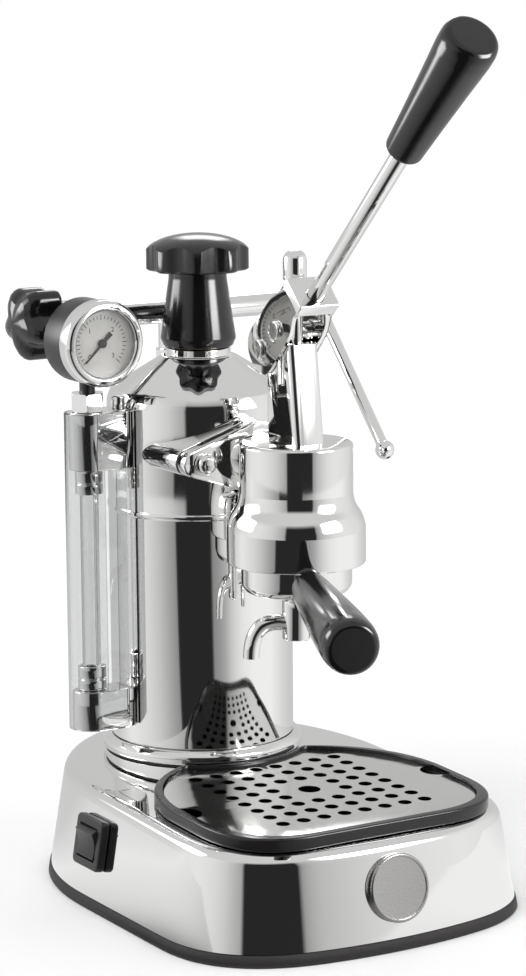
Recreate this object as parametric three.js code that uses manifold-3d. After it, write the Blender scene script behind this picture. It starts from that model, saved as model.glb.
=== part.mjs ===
// Lever espresso machine, in millimetres, +Z up, its front towards -Y.
// Pieces are placed around the boiler: its axis is x = 0, y = 0, and z = 0 is the table.
// The last lines move the whole machine so that its box is centred on the origin.

import * as THREE from "three";
import { mergeVertices } from "three/addons/utils/BufferGeometryUtils.js";
import Module from "manifold-3d";

const wasm = await Module();
wasm.setup();

// Fits and cuts that all pieces share
const fitGap = 0.3; // left between two pieces that touch
const pressGap = 0.1; // left round a pin that is pressed home
const edgeBevel = 1; // broken edge of a small turned piece
const overrun = 1; // how far a cutting body runs past what it cuts
const weldGap = 0.0001; // points closer than this are one point
const quarterTurn = Math.PI / 2;
const roundSides = 24;
const mediumSides = 18;
const smallSides = 12;
const boltSides = 8;
const knobSteps = 32;

// Base casing
const baseFront = 191.4; // boiler axis to the middle of the front edge
const baseBack = 77; // boiler axis to the middle of the back edge
const baseFrontHalf = 99.6; // half width at the front corners
const baseRoundHalf = 97.8; // half width where the round back begins
const baseRoundStart = 42; // in front of the boiler axis
const baseBow = 19; // how far the front edge bows forward between its corners
const baseFrontCorner = 45;
const baseFrontHeight = 52.7;
const baseBackHeight = 63;
const baseDraft = 9.6; // how far the sides lean in from bottom to top
const baseEdgeRadius = 6;
const baseWall = 1.5;

// Rubber rim and bottom cover
const rimHeight = 6.2;
const rimWidth = 5;
const rimProud = 0.6;
const ledgeWidth = 8;
const ledgeThickness = 1.8;
const coverThickness = 1.2;
const coverScrewInset = 9; // from the base outline to a screw's axis
const coverScrewShares = [0.4, 0.8]; // where the screws stand, as shares of the way round from the front
const coverScrewRadius = 1.4;
const coverScrewHead = 3.2;
const coverScrewHeadHeight = 1.3;
const coverScrewTopShare = 0.8; // of the head's radius

// Drip tray and its grid, in the frame of the sloping top
const trayCentre = 106; // in front of the boiler axis
const trayHalfWidth = 80.5;
const trayFront = 69;
const trayFrontCorner = 42;
const trayFrontCornerDepth = 45;
const traySideEnd = 2;
const trayBackHalf = 77;
const trayBack = 46;
const trayHornHalf = 36; // half width where the tray meets the curve round the boiler
const trayRimHeight = 7.3;
const trayRimWidth = 4.3;
const trayLedgeHeight = 4.4;
const trayWall = 1.8;
const trayDepth = 24;
const trayCollarGap = 1.2; // between the tray's rim and the ring under the boiler
const trayCollarShare = 0.45; // share of each width that is kept on the side of the boiler
const gridThickness = 1.2;
const gridPitch = 12;
const gridRows = 8;
const gridHoleRadius = 3.5;
const gridCentreRadius = 5.7;
const gridHoleSides = 6;
const thumbRadius = 8.5;
const thumbDepth = 9; // how far a thumb notch reaches in from the grid's edge
const thumbForward = 4; // in front of the tray's centre

// Boiler, standing in the base
const boilerRadius = 48.5;
const boilerWall = 2.2;
const boilerLift = 1.3; // above the casing's highest edge
const boilerBottom = baseBackHeight + boilerLift;
const boilerStepRise = 7.3;
const boilerStepHeight = boilerBottom + boilerStepRise;
const boilerStep = 1.3;
const boilerWallHeight = 185.2;
const boilerShoulder = boilerBottom + boilerWallHeight;
const boilerDomeRise = 23.1;
const boilerDomeTop = boilerShoulder + boilerDomeRise;
const boilerDomeHalf = 19.7;
const boilerMouthRadius = 16.9;
const boilerMouthBore = 13.6;
const boilerMouthRise = 4.1;
const boilerMouthTop = boilerDomeTop + boilerMouthRise;
const boilerNeckRadius = 33;
const boilerNeckBore = 29;
const boilerNeckLength = 20.3;
const beadDrop = 55.5; // below the shoulder
const beadHeight = boilerShoulder - beadDrop;
const beadHalf = 1.6;
const beadProud = 0.5;
const footRingRadius = 53.1;
const footRingHeight = 7;
const footRingLean = 2.6; // how far its upper part leans in
const footRingLeanShare = 0.4; // of its height
const footGasketRadius = 51.5;
const footGasketThickness = 1.2;
const collarRadius = 52;
const collarPadRadius = 44;
const collarPadDepth = 10.3;
const collarPadBottom = boilerBottom - collarPadDepth;
const boilerNutRadius = 42;
const boilerNutHeight = 7;

// Heating element, screwed into the boiler's neck from below
const elementHeadRadius = 32.6;
const elementHeadHeight = 5;
const elementPlugLength = 16;
const elementTubeRadius = 4;
const elementLoopHalf = 16;
const elementLoopRise = 85.7; // above the boiler's floor
const elementLoopTop = boilerBottom + elementLoopRise;
const elementCrownShare = 1.4; // how far the loop's crown is pulled up, as a share of its half width

// Filler cap
const capBottomRadius = 18;
const capWideRadius = 19.8;
const capWideHeight = 4.2;
const capNeckRadius = 15.2;
const capDiscBottom = 39.6; // above the cap's lower edge
const capTop = 59;
const capKnobRadius = 26.8;
const capKnobWave = 1.4;
const capLobes = 8;
const capTurn = 13.4; // degrees, as photographed
const capCoreRadius = 13.3;
const capCoreDepth = 14;
const capStudRadius = 8;
const capStudLength = 24;
const capGasketThickness = 1.7;

// Steam tap behind the cap, its axis along X
const tapBack = 30; // behind the boiler axis
const tapRise = 19.7; // its axis above the top of the dome
const tapHeight = boilerDomeTop + tapRise;
const tapTubeRadius = 6;
const tapLeft = 60;
const tapRight = 84;
const tapGlandRadius = 8.2;
const tapGlandLength = 10;
const tapHexRadius = 8.5;
const tapHexHeight = 7;
const steamKnobRadius = 19.8;
const steamKnobWave = 2.6;
const steamKnobLobes = 5;
const steamKnobLength = 22.7;
const steamKnobEnd = 93.5;
const steamKnobNeckRadius = 9.8;
const steamSpindleRadius = 3;
const steamSpindleLength = 35;

// Steam wand at the tap's right end
const wandSide = 92.5;
const wandAngle = 42.2; // degrees forward of straight down, as photographed
const wandLength = 99.8;
const wandRadius = 3.1;
const wandElbowRadius = 6.3;
const wandTrunnionRadius = 4.1;
const wandTipRadius = 5.1;
const wandNutRadius = 8.6;
const wandNutLength = 9.5;
const wandNutLip = 2.9;

// Sight glass on the boiler's left side
const sightOffset = 66.5; // boiler axis to glass axis
const sightBlockRadius = 10.3;
const sightUpperHeight = 30;
const sightLowerHeight = 21;
const sightLift = 16.7; // above the boiler's floor
const sightLowerBottom = boilerBottom + sightLift;
const sightDrop = 1.5; // below the boiler's shoulder
const sightUpperTop = boilerShoulder - sightDrop;
const sightGlassRadius = 4.8;
const sightGlassWall = 1.6;
const sightGlassSeat = 8; // how far the glass reaches into each block
const sightNutRadius = 7.2;
const sightNutHeight = 12.5;
const sightPortRadius = 3;
const sightPortDepth = 14; // from a block's glass end to its water port
const shieldGap = 0.5;
const shieldWall = 1.5;
const shieldLeg = 15.5;
const ventRadius = 3.6;
const ventHeight = 7.7;
const ventOffset = 14.5;
const ventForward = 6.5;

// Pressure gauge on top of the sight glass
const gaugeRise = 36.9; // its centre above the sight glass
const gaugeHeight = sightUpperTop + gaugeRise;
const gaugeForward = 3;
const gaugeBack = 9;
const gaugeCaseRadius = 21.8;
const gaugeCaseFront = 8.9;
const gaugeLipRadius = 20.6;
const gaugeLipLength = 2.5;
const gaugeCaseWall = 1.4;
const gaugeBezelRadius = 22.3;
const gaugeBezelFront = 18.9;
const gaugeWindowRadius = 17;
const gaugeBezelLip = 2.4;
const gaugeDialThickness = 0.8;
const gaugeGlassThickness = 1.1;
const gaugeNeedleHub = 2.2;
const gaugeNeedleLength = 13.5;
const gaugeNeedleTail = 7;
const gaugeNeedleWidth = 1.3;
const gaugeNeedleThickness = 0.6;
const gaugeNeedleHubHeight = 2;
const gaugeNeedleRest = 135; // degrees, from straight up towards the left
const gaugeStemRadius = 4;
const gaugeStemSeat = 5;
const gaugeNutRadius = 9.2;
const gaugeNutHeight = 9.6;

// Brewing group, on an axis of its own in front of the boiler
const groupForward = 95.3;
const flangeDrop = 23.5; // below the boiler's shoulder
const flangeHeight = boilerShoulder - flangeDrop;
const groupDrop = 48.4; // from the flange's centre to the lower edge
const groupBottom = flangeHeight - groupDrop;
const groupFlareRadius = 35;
const groupFlareHeight = 19.4;
const groupFlareTop = groupBottom + groupFlareHeight;
const groupRadius = 28.7;
const groupWaistHeight = 33.4;
const groupWaist = groupBottom + groupWaistHeight;
const groupWaistShares = [[0, 1], [0.4, 0.71], [0.75, 0.19], [1, 0]]; // of the rise and of the step in
const groupFootBevel = 1.5;
const groupTopBevel = 2;
const groupHeight = 61.4;
const groupTop = groupBottom + groupHeight;
const groupBore = 24.5;
const groupRoof = 6;
const groupBoreTop = groupTop - groupRoof;
const groupRingBore = 28.6; // the lip that the portafilter turns in
const groupLipHeight = 3.4;
const groupLugBore = 32.8;
const groupLugRoom = 6.2;
const groupGasketBore = 31;
const groupGasketRoom = 5.8;
const postHeight = 50;
const postTop = groupTop + postHeight;
const postFlatHalf = 8.6; // half its width between the flat sides
const postTopReach = 8.9; // how far its leaning front stands before the rod's axis
const postFootReach = 15;
const postCrown = 0.6; // bulge of the front
const postCornerRadius = 3;
const postCornerSteps = 5;
const postSlotDepth = 21;
const postSlotBottom = postTop - postSlotDepth;
const lugRadius = 6.6;
const lugDrop = 17; // where its curve meets the post's flat back
const lugFoot = postTop - lugDrop;
const postBack = 13;

// Diamond flange between boiler and group
const flangeHalfLength = 45;
const flangeHalfHeight = 19;
const flangeEndRadius = 7;
const flangeMidRadius = 16;
const flangeThickness = 7.5;
const flangeNeckRadius = 13;
const saddleFront = 52.6;
const saddleBack = 18;
const gasketThickness = 0.8;
const flangeBoltSpread = 33;
const flangeBoltRadius = 3;
const flangeBoltHead = 5.2;
const flangeBoltHeadHeight = 5.2;
const flangeBoltBevel = 1.2;
const flangeBoltLength = 21;
const waterPortRadius = 3.5;

// Piston and its rod
const pistonHeight = 16;
const pistonClearance = 0.5;
const pistonSealHeight = 4;
const pistonSealDepth = 2.6;
const pistonSealClearance = 0.2;
const rodRadius = 4;
const rodSocketDepth = 10;
const rodRise = 39; // above the post
const rodTop = postTop + rodRise;
const rodCapRadius = 6;
const rodCapOverlap = 7.7;
const rodCapBottom = rodTop - rodCapOverlap;
const rodCapLength = 14.7;
const rodCapTop = rodCapBottom + rodCapLength;
const rodCapShares = [[1, 0], [1, 0.72], [0.8, 0.9], [0.4, 1]]; // of its radius and of its height
const rodPinRadius = 3;
const pinHeadRadius = 4.6;
const pinHeadHeight = 1.4;

// Brewing seal and shower screen
const brewGasketThickness = 4.8;
const brewGasketBore = 25;
const screenThickness = 1.5;
const screenHoles = 6;
const screenHoleRadius = 1.2;
const screenHoleCircle = 14;

// Lever: its fork turns on the fulcrum pin, behind the piston rod
const leverAngle = 44.3; // degrees above level, as photographed
const leverTravel = 70; // degrees from the photographed rest down to the stop
const fulcrumReach = 19; // fulcrum pin to rod pin
const rodPinRise = 6.8; // above the post
const rodPinHeight = postTop + rodPinRise;
const forkInnerHalf = 9;
const forkOuterHalf = 11.5;
const cheekBack = 9.9; // behind the fulcrum
const cheekFront = 38;
const cheekHalf = 12.4;
const plateThickness = 7;
const plateHalfHeight = 9.4;
const plateDrop = 0.5;
const slotPlay = 0.9;
const leverRodRadius = 4.8;
const leverRodFootRadius = 4.4;
const leverRodSeat = 4;
const leverRodInHandle = 29;
const handleStart = 151.8;
const handleEnd = 231.2;
const handleStartRadius = 9.2;
const handleEndRadius = 14.1;

// Portafilter, its handle as photographed
const portaAngle = 22.4; // degrees to the left of straight forward
const portaUnlock = 35; // degrees from locked to where the lugs are free
const portaRadius = 28;
const portaEngagement = 8.9; // how far the cup reaches up into the group
const portaTop = groupBottom + portaEngagement;
const portaDepth = 23.2;
const portaBottom = portaTop - portaDepth;
const portaWall = 1.8;
const portaLugReach = 4.4;
const portaLugHeight = 4.6;
const portaLugHalfAngle = 22;
const portaGateShare = 1.25; // width of a gate in the group, as a share of its lug's
const portaConeShare = 0.46; // of the radius, where the cup's floor meets its cone
const nozzleRadius = 5.5;
const nozzleBore = 3.2;
const nozzleLength = 12.3;
const nozzleBottom = portaBottom - nozzleLength;
const portaArmDepth = 14; // below the cup's rim
const portaArmHeight = portaTop - portaArmDepth;
const portaArmDrop = 2.4; // degrees below level
const portaArmRadius = 5;
const portaArmEnd = 52;
const portaShankRadius = 6;
const portaHandleStart = 35.6;
const portaHandleEnd = 151;
const portaHandleRadius = 14;
const basketWall = 0.8;
const basketGap = 0.6;
const basketDepth = 19; // below the cup's rim
const basketBottom = portaTop - basketDepth;
const basketFlange = 27.9;
const basketChamfer = 2.3;

// Twin spout under the portafilter
const spoutHubRadius = 7.5;
const spoutHubGap = 5; // below the cup
const spoutHubTop = portaBottom - spoutHubGap;
const spoutHubHeight = 20.3;
const spoutHubBottom = spoutHubTop - spoutHubHeight;
const spoutFloor = 4;
const spoutReach = 23.5;
const spoutTipDrop = 9; // below the hub
const spoutTip = spoutHubBottom - spoutTipDrop;
const spoutArmRadius = 4.2;
const spoutArmBore = 2.9;
const spoutArmRise = 11; // above the hub's lower end
const spoutArmHeight = spoutHubBottom + spoutArmRise;

// Switch on the left wall, badge in front, cord gland behind, pressure switch inside
const switchForward = 48;
const switchHeight = 34.5;
const switchWidth = 27;
const switchTall = 26;
const switchProud = 5;
const switchCorner = 3;
const switchBodyWidth = 22;
const switchBodyTall = 21;
const switchBodyDepth = 11;
const rockerWidth = 18;
const rockerRadius = 8.4;
const rockerSink = 3.2;
const rockerThrow = 9; // degrees to each side of level
const rockerEndHigh = 38; // degrees above level where the dished top ends
const rockerEndLow = 20; // degrees below level where the rocker is cut off
const rockerDishShare = 0.45; // of the radius, left in the middle of the dish
const badgeHeight = 30.6;
const badgeRadius = 17;
const badgeThickness = 2.5;
const badgeRim = 1.8;
const badgeRimHeight = 0.7;
const glandHeight = 24;
const glandRadius = 9.5;
const glandFlange = 3;
const glandNoseRadius = 6;
const glandNose = 6;
const glandShankRadius = 6.9;
const glandShank = 8;
const glandBore = 3.6;
const pressureSwitchInset = 35.8; // inside the curve of the casing
const pressureSwitchSide = baseRoundHalf - pressureSwitchInset;
const pressureSwitchForward = 4;
const pressureSwitchRadius = 14;
const pressureSwitchHeight = 26;
const pressureSwitchCapRadius = 9;
const pressureSwitchShares = [0.6, 0.55]; // of its height, where the cap and the drum end

// Colours and finishes
const finishes = {
  chrome: { color: 0xd8d9db, roughness: 0.08, metalness: 1 },
  steel: { color: 0xb9b9b7, roughness: 0.3, metalness: 1 },
  brass: { color: 0xb4924c, roughness: 0.35, metalness: 1 },
  bakelite: { color: 0x1d1a1b, roughness: 0.22, metalness: 0 },
  plastic: { color: 0x242223, roughness: 0.4, metalness: 0 },
  rubber: { color: 0x2b2a2a, roughness: 0.75, metalness: 0 },
  clear: { color: 0xe6ecec, roughness: 0.05, metalness: 0 },
  dial: { color: 0xf1f0ec, roughness: 0.5, metalness: 0 },
  cover: { color: 0x3a3a3a, roughness: 0.5, metalness: 0.6 },
};

const radians = THREE.MathUtils.degToRad;

// From here on, helpers that turn shapes into closed bodies

// Welds a geometry into one closed body with its faces pointing out.
function solid(shape) {
  if (!(shape instanceof THREE.BufferGeometry)) return shape;
  const bare = shape.clone();
  bare.deleteAttribute("normal");
  bare.deleteAttribute("uv");
  const welded = mergeVertices(bare, weldGap);
  const place = welded.attributes.position;
  const corners = [];
  const [a, b, c] = [new THREE.Vector3(), new THREE.Vector3(), new THREE.Vector3()];
  let volume = 0;
  for (let i = 0; i < welded.index.count; i += 3) {
    const [p, q, r] = [0, 1, 2].map((k) => welded.index.getX(i + k));
    if (p === q || q === r || r === p) continue;
    corners.push([p, q, r]);
    a.fromBufferAttribute(place, p);
    b.fromBufferAttribute(place, q);
    c.fromBufferAttribute(place, r);
    volume += a.dot(b.cross(c));
  }
  if (volume < 0) corners.forEach((corner) => corner.reverse());
  return new wasm.Manifold(new wasm.Mesh({
    numProp: 3,
    vertProperties: Float32Array.from(place.array),
    triVerts: Uint32Array.from(corners.flat()),
  }));
}

function join(...parts) {
  return parts.map(solid).reduce((whole, part) => whole.add(part));
}

function cut(body, ...tools) {
  return tools.map(solid).reduce((rest, tool) => rest.subtract(tool), solid(body));
}

function overlap(body, tool) {
  return solid(body).intersect(solid(tool));
}

// Adds a body to a group as a named mesh.
function add(group, name, body, finish) {
  const { vertProperties, triVerts } = solid(body).getMesh();
  const geometry = new THREE.BufferGeometry();
  geometry.setAttribute("position", new THREE.BufferAttribute(Float32Array.from(vertProperties), 3));
  geometry.setIndex(new THREE.BufferAttribute(Uint32Array.from(triVerts), 1));
  geometry.computeVertexNormals();
  const mesh = new THREE.Mesh(geometry, new THREE.MeshStandardMaterial(finishes[finish]));
  mesh.name = name;
  group.add(mesh);
  return mesh;
}

function subgroup(parent, x = 0, y = 0, z = 0) {
  const group = new THREE.Group();
  group.position.set(x, y, z);
  parent.add(group);
  return group;
}

// Turns an outline of [radius, height] points about Z. One that does not start on the axis is a ring.
function turned(outline, sides = roundSides) {
  const points = outline.map(([radius, height]) => new THREE.Vector2(radius, height));
  if (points[0].x > 0) points.push(points[0].clone());
  return new THREE.LatheGeometry(points, sides).rotateX(quarterTurn);
}

// A straight round bar along Z from one height to another.
function bar(radius, from, to, sides = smallSides) {
  return turned([[0, from], [radius, from], [radius, to], [0, to]], sides);
}

function alongX(geometry) {
  return geometry.rotateY(quarterTurn);
}

// Turns a bar along Z so that it runs along -Y, towards the front.
function alongFront(geometry) {
  return geometry.rotateX(quarterTurn);
}

function prism(shape, from, to, segments = boltSides) {
  const settings = { depth: to - from, bevelEnabled: false, curveSegments: segments };
  return new THREE.ExtrudeGeometry(shape, settings).translate(0, 0, from);
}

function block(width, depth, height) {
  return new THREE.BoxGeometry(width, depth, height);
}

function hexagon(radius, from, to) {
  return bar(radius, from, to, 6);
}

function polygon(points) {
  return new THREE.Shape(points.map(([x, y]) => new THREE.Vector2(x, y)));
}

// Skins a stack of rings that have the same number of points, and closes both ends.
function loft(rings) {
  const count = rings[0].length;
  const points = rings.flat();
  const faces = [];
  for (let ring = 0; ring + 1 < rings.length; ring += 1) {
    for (let i = 0; i < count; i += 1) {
      const [low, next] = [ring * count + i, ring * count + ((i + 1) % count)];
      faces.push(low, next, next + count, low, next + count, low + count);
    }
  }
  const contour = rings[0].map((p) => new THREE.Vector2(p.x, p.y));
  const lastContour = rings.at(-1).map((p) => new THREE.Vector2(p.x, p.y));
  const last = points.length - count;
  THREE.ShapeUtils.triangulateShape(contour, []).forEach(([p, q, r]) => faces.push(r, q, p));
  THREE.ShapeUtils.triangulateShape(lastContour, [])
    .forEach(([p, q, r]) => faces.push(last + p, last + q, last + r));
  const geometry = new THREE.BufferGeometry().setFromPoints(points);
  geometry.setIndex(faces);
  return geometry;
}

// A wavy knob: an outline of lobes, scaled at each of its levels.
function lobedKnob(radius, wave, lobes, levels) {
  const steps = lobes * Math.ceil(knobSteps / lobes);
  const ringAt = ([height, share]) => Array.from({ length: steps }, (_, i) => {
    const turn = (i / steps) * 2 * Math.PI;
    const reach = (radius - wave + wave * Math.cos(lobes * turn)) * share;
    return new THREE.Vector3(reach * Math.cos(turn), reach * Math.sin(turn), height);
  });
  return loft(levels.map(ringAt));
}

function tube(curve, radius, steps, sides) {
  const section = new THREE.Shape().absarc(0, 0, radius, 0, 2 * Math.PI);
  const settings = { steps, extrudePath: curve, curveSegments: sides, bevelEnabled: false };
  return new THREE.ExtrudeGeometry(section, settings);
}

// Outline of the base

const baseTopSlope = (baseBackHeight - baseFrontHeight) / (baseFront + baseBack);
const baseTilt = Math.atan(baseTopSlope);

function topHeight(y) {
  return baseFrontHeight + (y + baseFront) * baseTopSlope;
}

const frontCorner = new THREE.Vector2(baseFrontHalf, baseBow - baseFront);
const roundStart = new THREE.Vector2(baseRoundHalf, -baseRoundStart);
const sideRun = roundStart.clone().sub(frontCorner).normalize();

// Points of the right half, front to back, each with its outward normal.
function baseHalf() {
  const frontEnd = baseFrontHalf - baseFrontCorner;
  const frontEndY = baseBow * (frontEnd / baseFrontHalf) ** 2 - baseFront;
  const path = new THREE.Path();
  path.moveTo(0, -baseFront);
  path.quadraticCurveTo(frontEnd / 2, -baseFront, frontEnd, frontEndY);
  const sideStart = frontCorner.clone().addScaledVector(sideRun, baseFrontCorner);
  path.quadraticCurveTo(frontCorner.x, frontCorner.y, sideStart.x, sideStart.y);
  path.lineTo(roundStart.x, roundStart.y);
  path.absellipse(0, roundStart.y, baseRoundHalf, baseBack + baseRoundStart, 0, quarterTurn);
  const steps = [4, 7, 1, 9];
  const found = path.curves.flatMap((curve, k) => Array.from({ length: steps[k] }, (_, i) => {
    const along = curve.getTangent(i / steps[k]);
    return { point: curve.getPoint(i / steps[k]), normal: new THREE.Vector2(along.y, -along.x) };
  }));
  found.push({
    point: new THREE.Vector2(0, baseBack),
    normal: new THREE.Vector2(0, 1),
  });
  return found;
}

const rightHalf = baseHalf();
const leftHalf = rightHalf.slice(1, -1).reverse().map(({ point, normal }) => ({
  point: new THREE.Vector2(-point.x, point.y),
  normal: new THREE.Vector2(-normal.x, normal.y),
}));
const wholeOutline = [...rightHalf, ...leftHalf];

// A ring of the base at an inset; heightAt gives the height from a point's y.
function baseRing(inset, heightAt) {
  return wholeOutline.map(({ point, normal }) => {
    const level = heightAt(point.y);
    const lean = baseDraft * (level / topHeight(point.y));
    const spot = point.clone().addScaledVector(normal, -(inset + lean));
    return new THREE.Vector3(spot.x, spot.y, heightAt(spot.y));
  });
}

// The base as a block: straight leaning sides and a rounded upper edge.
function baseBlock(inset, bottom, drop, edgeRadius) {
  const rings = [baseRing(inset, () => bottom)];
  const edgeSteps = 3;
  for (let i = 0; i <= edgeSteps; i += 1) {
    const turn = (i / edgeSteps) * quarterTurn;
    const below = drop + edgeRadius * (1 - Math.sin(turn));
    const roll = edgeRadius * (1 - Math.cos(turn));
    rings.push(baseRing(inset + roll, (y) => topHeight(y) - below));
  }
  return loft(rings);
}

function basePlate(inset, bottom, top) {
  return loft([baseRing(inset, () => bottom), baseRing(inset, () => top)]);
}

// A group on a wall of the base: its z points out of the wall, and its y up along it.
function wallGroup(parent, x, y, outward, height) {
  const lean = Math.atan(baseDraft / topHeight(y));
  const inset = baseDraft * (height / topHeight(y));
  const out = new THREE.Vector3(outward.x, outward.y, Math.tan(lean)).normalize();
  const across = new THREE.Vector3(-outward.y, outward.x, 0);
  const up = out.clone().cross(across);
  const group = subgroup(parent, x - outward.x * inset, y - outward.y * inset, height);
  group.quaternion.setFromRotationMatrix(new THREE.Matrix4().makeBasis(across, up, out));
  group.updateMatrix();
  return group;
}

// Outline of the drip tray, drawn in from its edge by an inset.
function trayShape(inset) {
  const half = trayHalfWidth - inset;
  const front = inset - trayFront;
  const curve = footRingRadius + trayCollarGap + inset * trayCollarShare;
  const hornY = trayCentre - Math.sqrt(curve ** 2 - trayHornHalf ** 2);
  const hornTurn = Math.atan2(hornY - trayCentre, trayHornHalf);
  const shape = new THREE.Shape();
  shape.moveTo(trayFrontCorner - half, front);
  shape.lineTo(half - trayFrontCorner, front);
  shape.quadraticCurveTo(half, front, half, front + trayFrontCornerDepth);
  shape.lineTo(half, traySideEnd);
  shape.quadraticCurveTo(trayBackHalf - inset, trayBack - inset, trayHornHalf, hornY);
  shape.absarc(0, trayCentre, curve, hornTurn, -Math.PI - hornTurn, true);
  shape.quadraticCurveTo(inset - trayBackHalf, trayBack - inset, -half, traySideEnd);
  shape.lineTo(-half, front + trayFrontCornerDepth);
  shape.quadraticCurveTo(-half, front, trayFrontCorner - half, front);
  return shape;
}

// The machine is built in this group
const machine = new THREE.Group();
const slopingTop = subgroup(machine, 0, -trayCentre, topHeight(-trayCentre));
slopingTop.rotation.x = baseTilt;
slopingTop.updateMatrix();
const trayPocketInset = trayRimWidth + fitGap;
const tubInset = trayPocketInset + 2 * fitGap;
const collarTop = boilerBottom - footGasketThickness - 2 * fitGap;

const leftNormal = new THREE.Vector2(-sideRun.y, -sideRun.x);
const switchX = -(frontCorner.x + (-switchForward - frontCorner.y) * (sideRun.x / sideRun.y));
const switchWall = wallGroup(machine, switchX, -switchForward, leftNormal, switchHeight);
const frontWall = wallGroup(machine, 0, -baseFront, new THREE.Vector2(0, -1), badgeHeight);
const backWall = wallGroup(machine, 0, baseBack, new THREE.Vector2(0, 1), glandHeight);

function addBase() {
  const bottom = rimHeight + fitGap;
  const outside = join(
    baseBlock(0, bottom, 0, baseEdgeRadius),
    bar(collarRadius, topHeight(0) - baseWall, collarTop, roundSides),
  );
  const inside = cut(
    baseBlock(baseWall, bottom - overrun, baseWall, baseEdgeRadius - baseWall),
    bar(collarPadRadius, collarPadBottom, collarTop, roundSides),
  );
  const trayHole = prism(trayShape(trayPocketInset), -trayDepth, trayDepth);
  const switchHole = block(switchBodyWidth + 2 * fitGap, switchBodyTall + 2 * fitGap, switchBodyDepth);
  const glandHole = bar(glandShankRadius + fitGap, -glandShank, glandShank);
  const shell = cut(
    outside,
    inside,
    bar(boilerNeckRadius + fitGap, 0, collarTop + overrun, roundSides),
    trayHole.applyMatrix4(slopingTop.matrix),
    switchHole.applyMatrix4(switchWall.matrix),
    glandHole.applyMatrix4(backWall.matrix),
  );
  add(machine, "base_shell", shell, "chrome");
}

const ledgeBottom = rimHeight - ledgeThickness;
const coverTop = ledgeBottom - fitGap;
const coverBottom = coverTop - coverThickness;
const screwPlaces = coverScrewShares.flatMap((share) => {
  const { point, normal } = rightHalf[Math.round(share * (rightHalf.length - 1))];
  const spot = point.clone().addScaledVector(normal, -coverScrewInset);
  return [-1, 1].map((side) => [side * spot.x, spot.y]);
});

function addUnderside() {
  const screwHoles = screwPlaces.map(([x, y]) => (
    bar(coverScrewRadius + fitGap, 0, rimHeight + overrun, boltSides).translate(x, y, 0)
  ));
  const rim = cut(
    basePlate(-rimProud, 0, rimHeight),
    basePlate(rimWidth, -overrun, ledgeBottom),
    basePlate(rimWidth + ledgeWidth, ledgeBottom - overrun, rimHeight + overrun),
    ...screwHoles,
  );
  add(machine, "base_rim", rim, "rubber");
  const cover = cut(basePlate(rimWidth + fitGap, coverBottom, coverTop), ...screwHoles);
  add(machine, "bottom_cover", cover, "cover");
  const headTop = coverBottom - fitGap;
  const screw = turned([
    [0, headTop - coverScrewHeadHeight],
    [coverScrewHead * coverScrewTopShare, headTop - coverScrewHeadHeight],
    [coverScrewHead, headTop - coverScrewHeadHeight / 2],
    [coverScrewHead, headTop],
    [coverScrewRadius, headTop],
    [coverScrewRadius, rimHeight - fitGap],
    [0, rimHeight - fitGap],
  ], boltSides);
  screwPlaces.forEach(([x, y], i) => {
    add(machine, `cover_screw_${i + 1}`, screw, "steel").position.set(x, y, 0);
  });
}

function addTray() {
  const floor = trayWall - trayDepth;
  const tray = cut(
    join(
      prism(trayShape(0), fitGap, trayRimHeight),
      prism(trayShape(tubInset), -trayDepth, trayLedgeHeight),
    ),
    prism(trayShape(trayRimWidth), trayLedgeHeight, trayRimHeight + overrun),
    prism(trayShape(tubInset + trayWall), floor, trayLedgeHeight + overrun),
  );
  add(slopingTop, "drip_tray", tray, "plastic");

  const bottom = trayLedgeHeight + fitGap;
  const top = bottom + gridThickness;
  const holes = [];
  const middle = (gridRows - 1) / 2;
  for (let row = 0; row < gridRows; row += 1) {
    for (let column = 0; column < gridRows; column += 1) {
      const [x, y] = [(column - middle) * gridPitch, (row - middle) * gridPitch];
      if (Math.hypot(x, y) < gridPitch) continue;
      holes.push(bar(gridHoleRadius, bottom - overrun, top + overrun, gridHoleSides).translate(x, y, 0));
    }
  }
  holes.push(bar(gridCentreRadius, bottom - overrun, top + overrun, boltSides));
  const notchX = trayHalfWidth - trayRimWidth - fitGap + thumbRadius - thumbDepth;
  [-1, 1].forEach((side) => {
    const notch = bar(thumbRadius, bottom - overrun, top + overrun, mediumSides);
    holes.push(notch.translate(side * notchX, -thumbForward, 0));
  });
  const plate = prism(trayShape(trayRimWidth + fitGap), bottom, top);
  add(slopingTop, "drip_grid", cut(plate, ...holes), "steel");
}

// Outer profile of the boiler above its step, grown by a gap.
function boilerProfile(gap) {
  return [
    [boilerRadius + gap, boilerStepHeight],
    [boilerRadius + gap, beadHeight - beadHalf],
    [boilerRadius + gap + beadProud, beadHeight - beadHalf / 2],
    [boilerRadius + gap + beadProud, beadHeight + beadHalf / 2],
    [boilerRadius + gap, beadHeight + beadHalf],
    [boilerRadius + gap, boilerShoulder + gap],
    [boilerRadius - beadProud + gap, boilerShoulder + boilerWall + gap],
    [boilerRadius - boilerWall + gap, boilerShoulder + 3 * boilerWall + gap],
    [boilerDomeHalf + gap, boilerDomeTop + gap],
    [boilerMouthRadius + gap, boilerDomeTop + gap],
    [boilerMouthRadius + gap, boilerMouthTop + gap],
  ];
}

// The diamond that boiler, gasket and group share, standing in the XZ plane.
function diamond(inset, back, front) {
  const end = flangeEndRadius - inset;
  const middle = flangeMidRadius - inset;
  const span = flangeHalfLength - flangeEndRadius;
  const rise = flangeHalfHeight - flangeMidRadius;
  const lean = Math.acos((middle - end) / span);
  const shape = new THREE.Shape();
  shape.absarc(span, 0, end, -lean, lean);
  shape.absarc(0, rise, middle, lean, Math.PI - lean);
  shape.absarc(-span, 0, end, Math.PI - lean, Math.PI + lean);
  shape.absarc(0, -rise, middle, Math.PI + lean, 2 * Math.PI - lean);
  return alongFront(prism(shape, back, front, 6)).translate(0, 0, flangeHeight);
}

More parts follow.
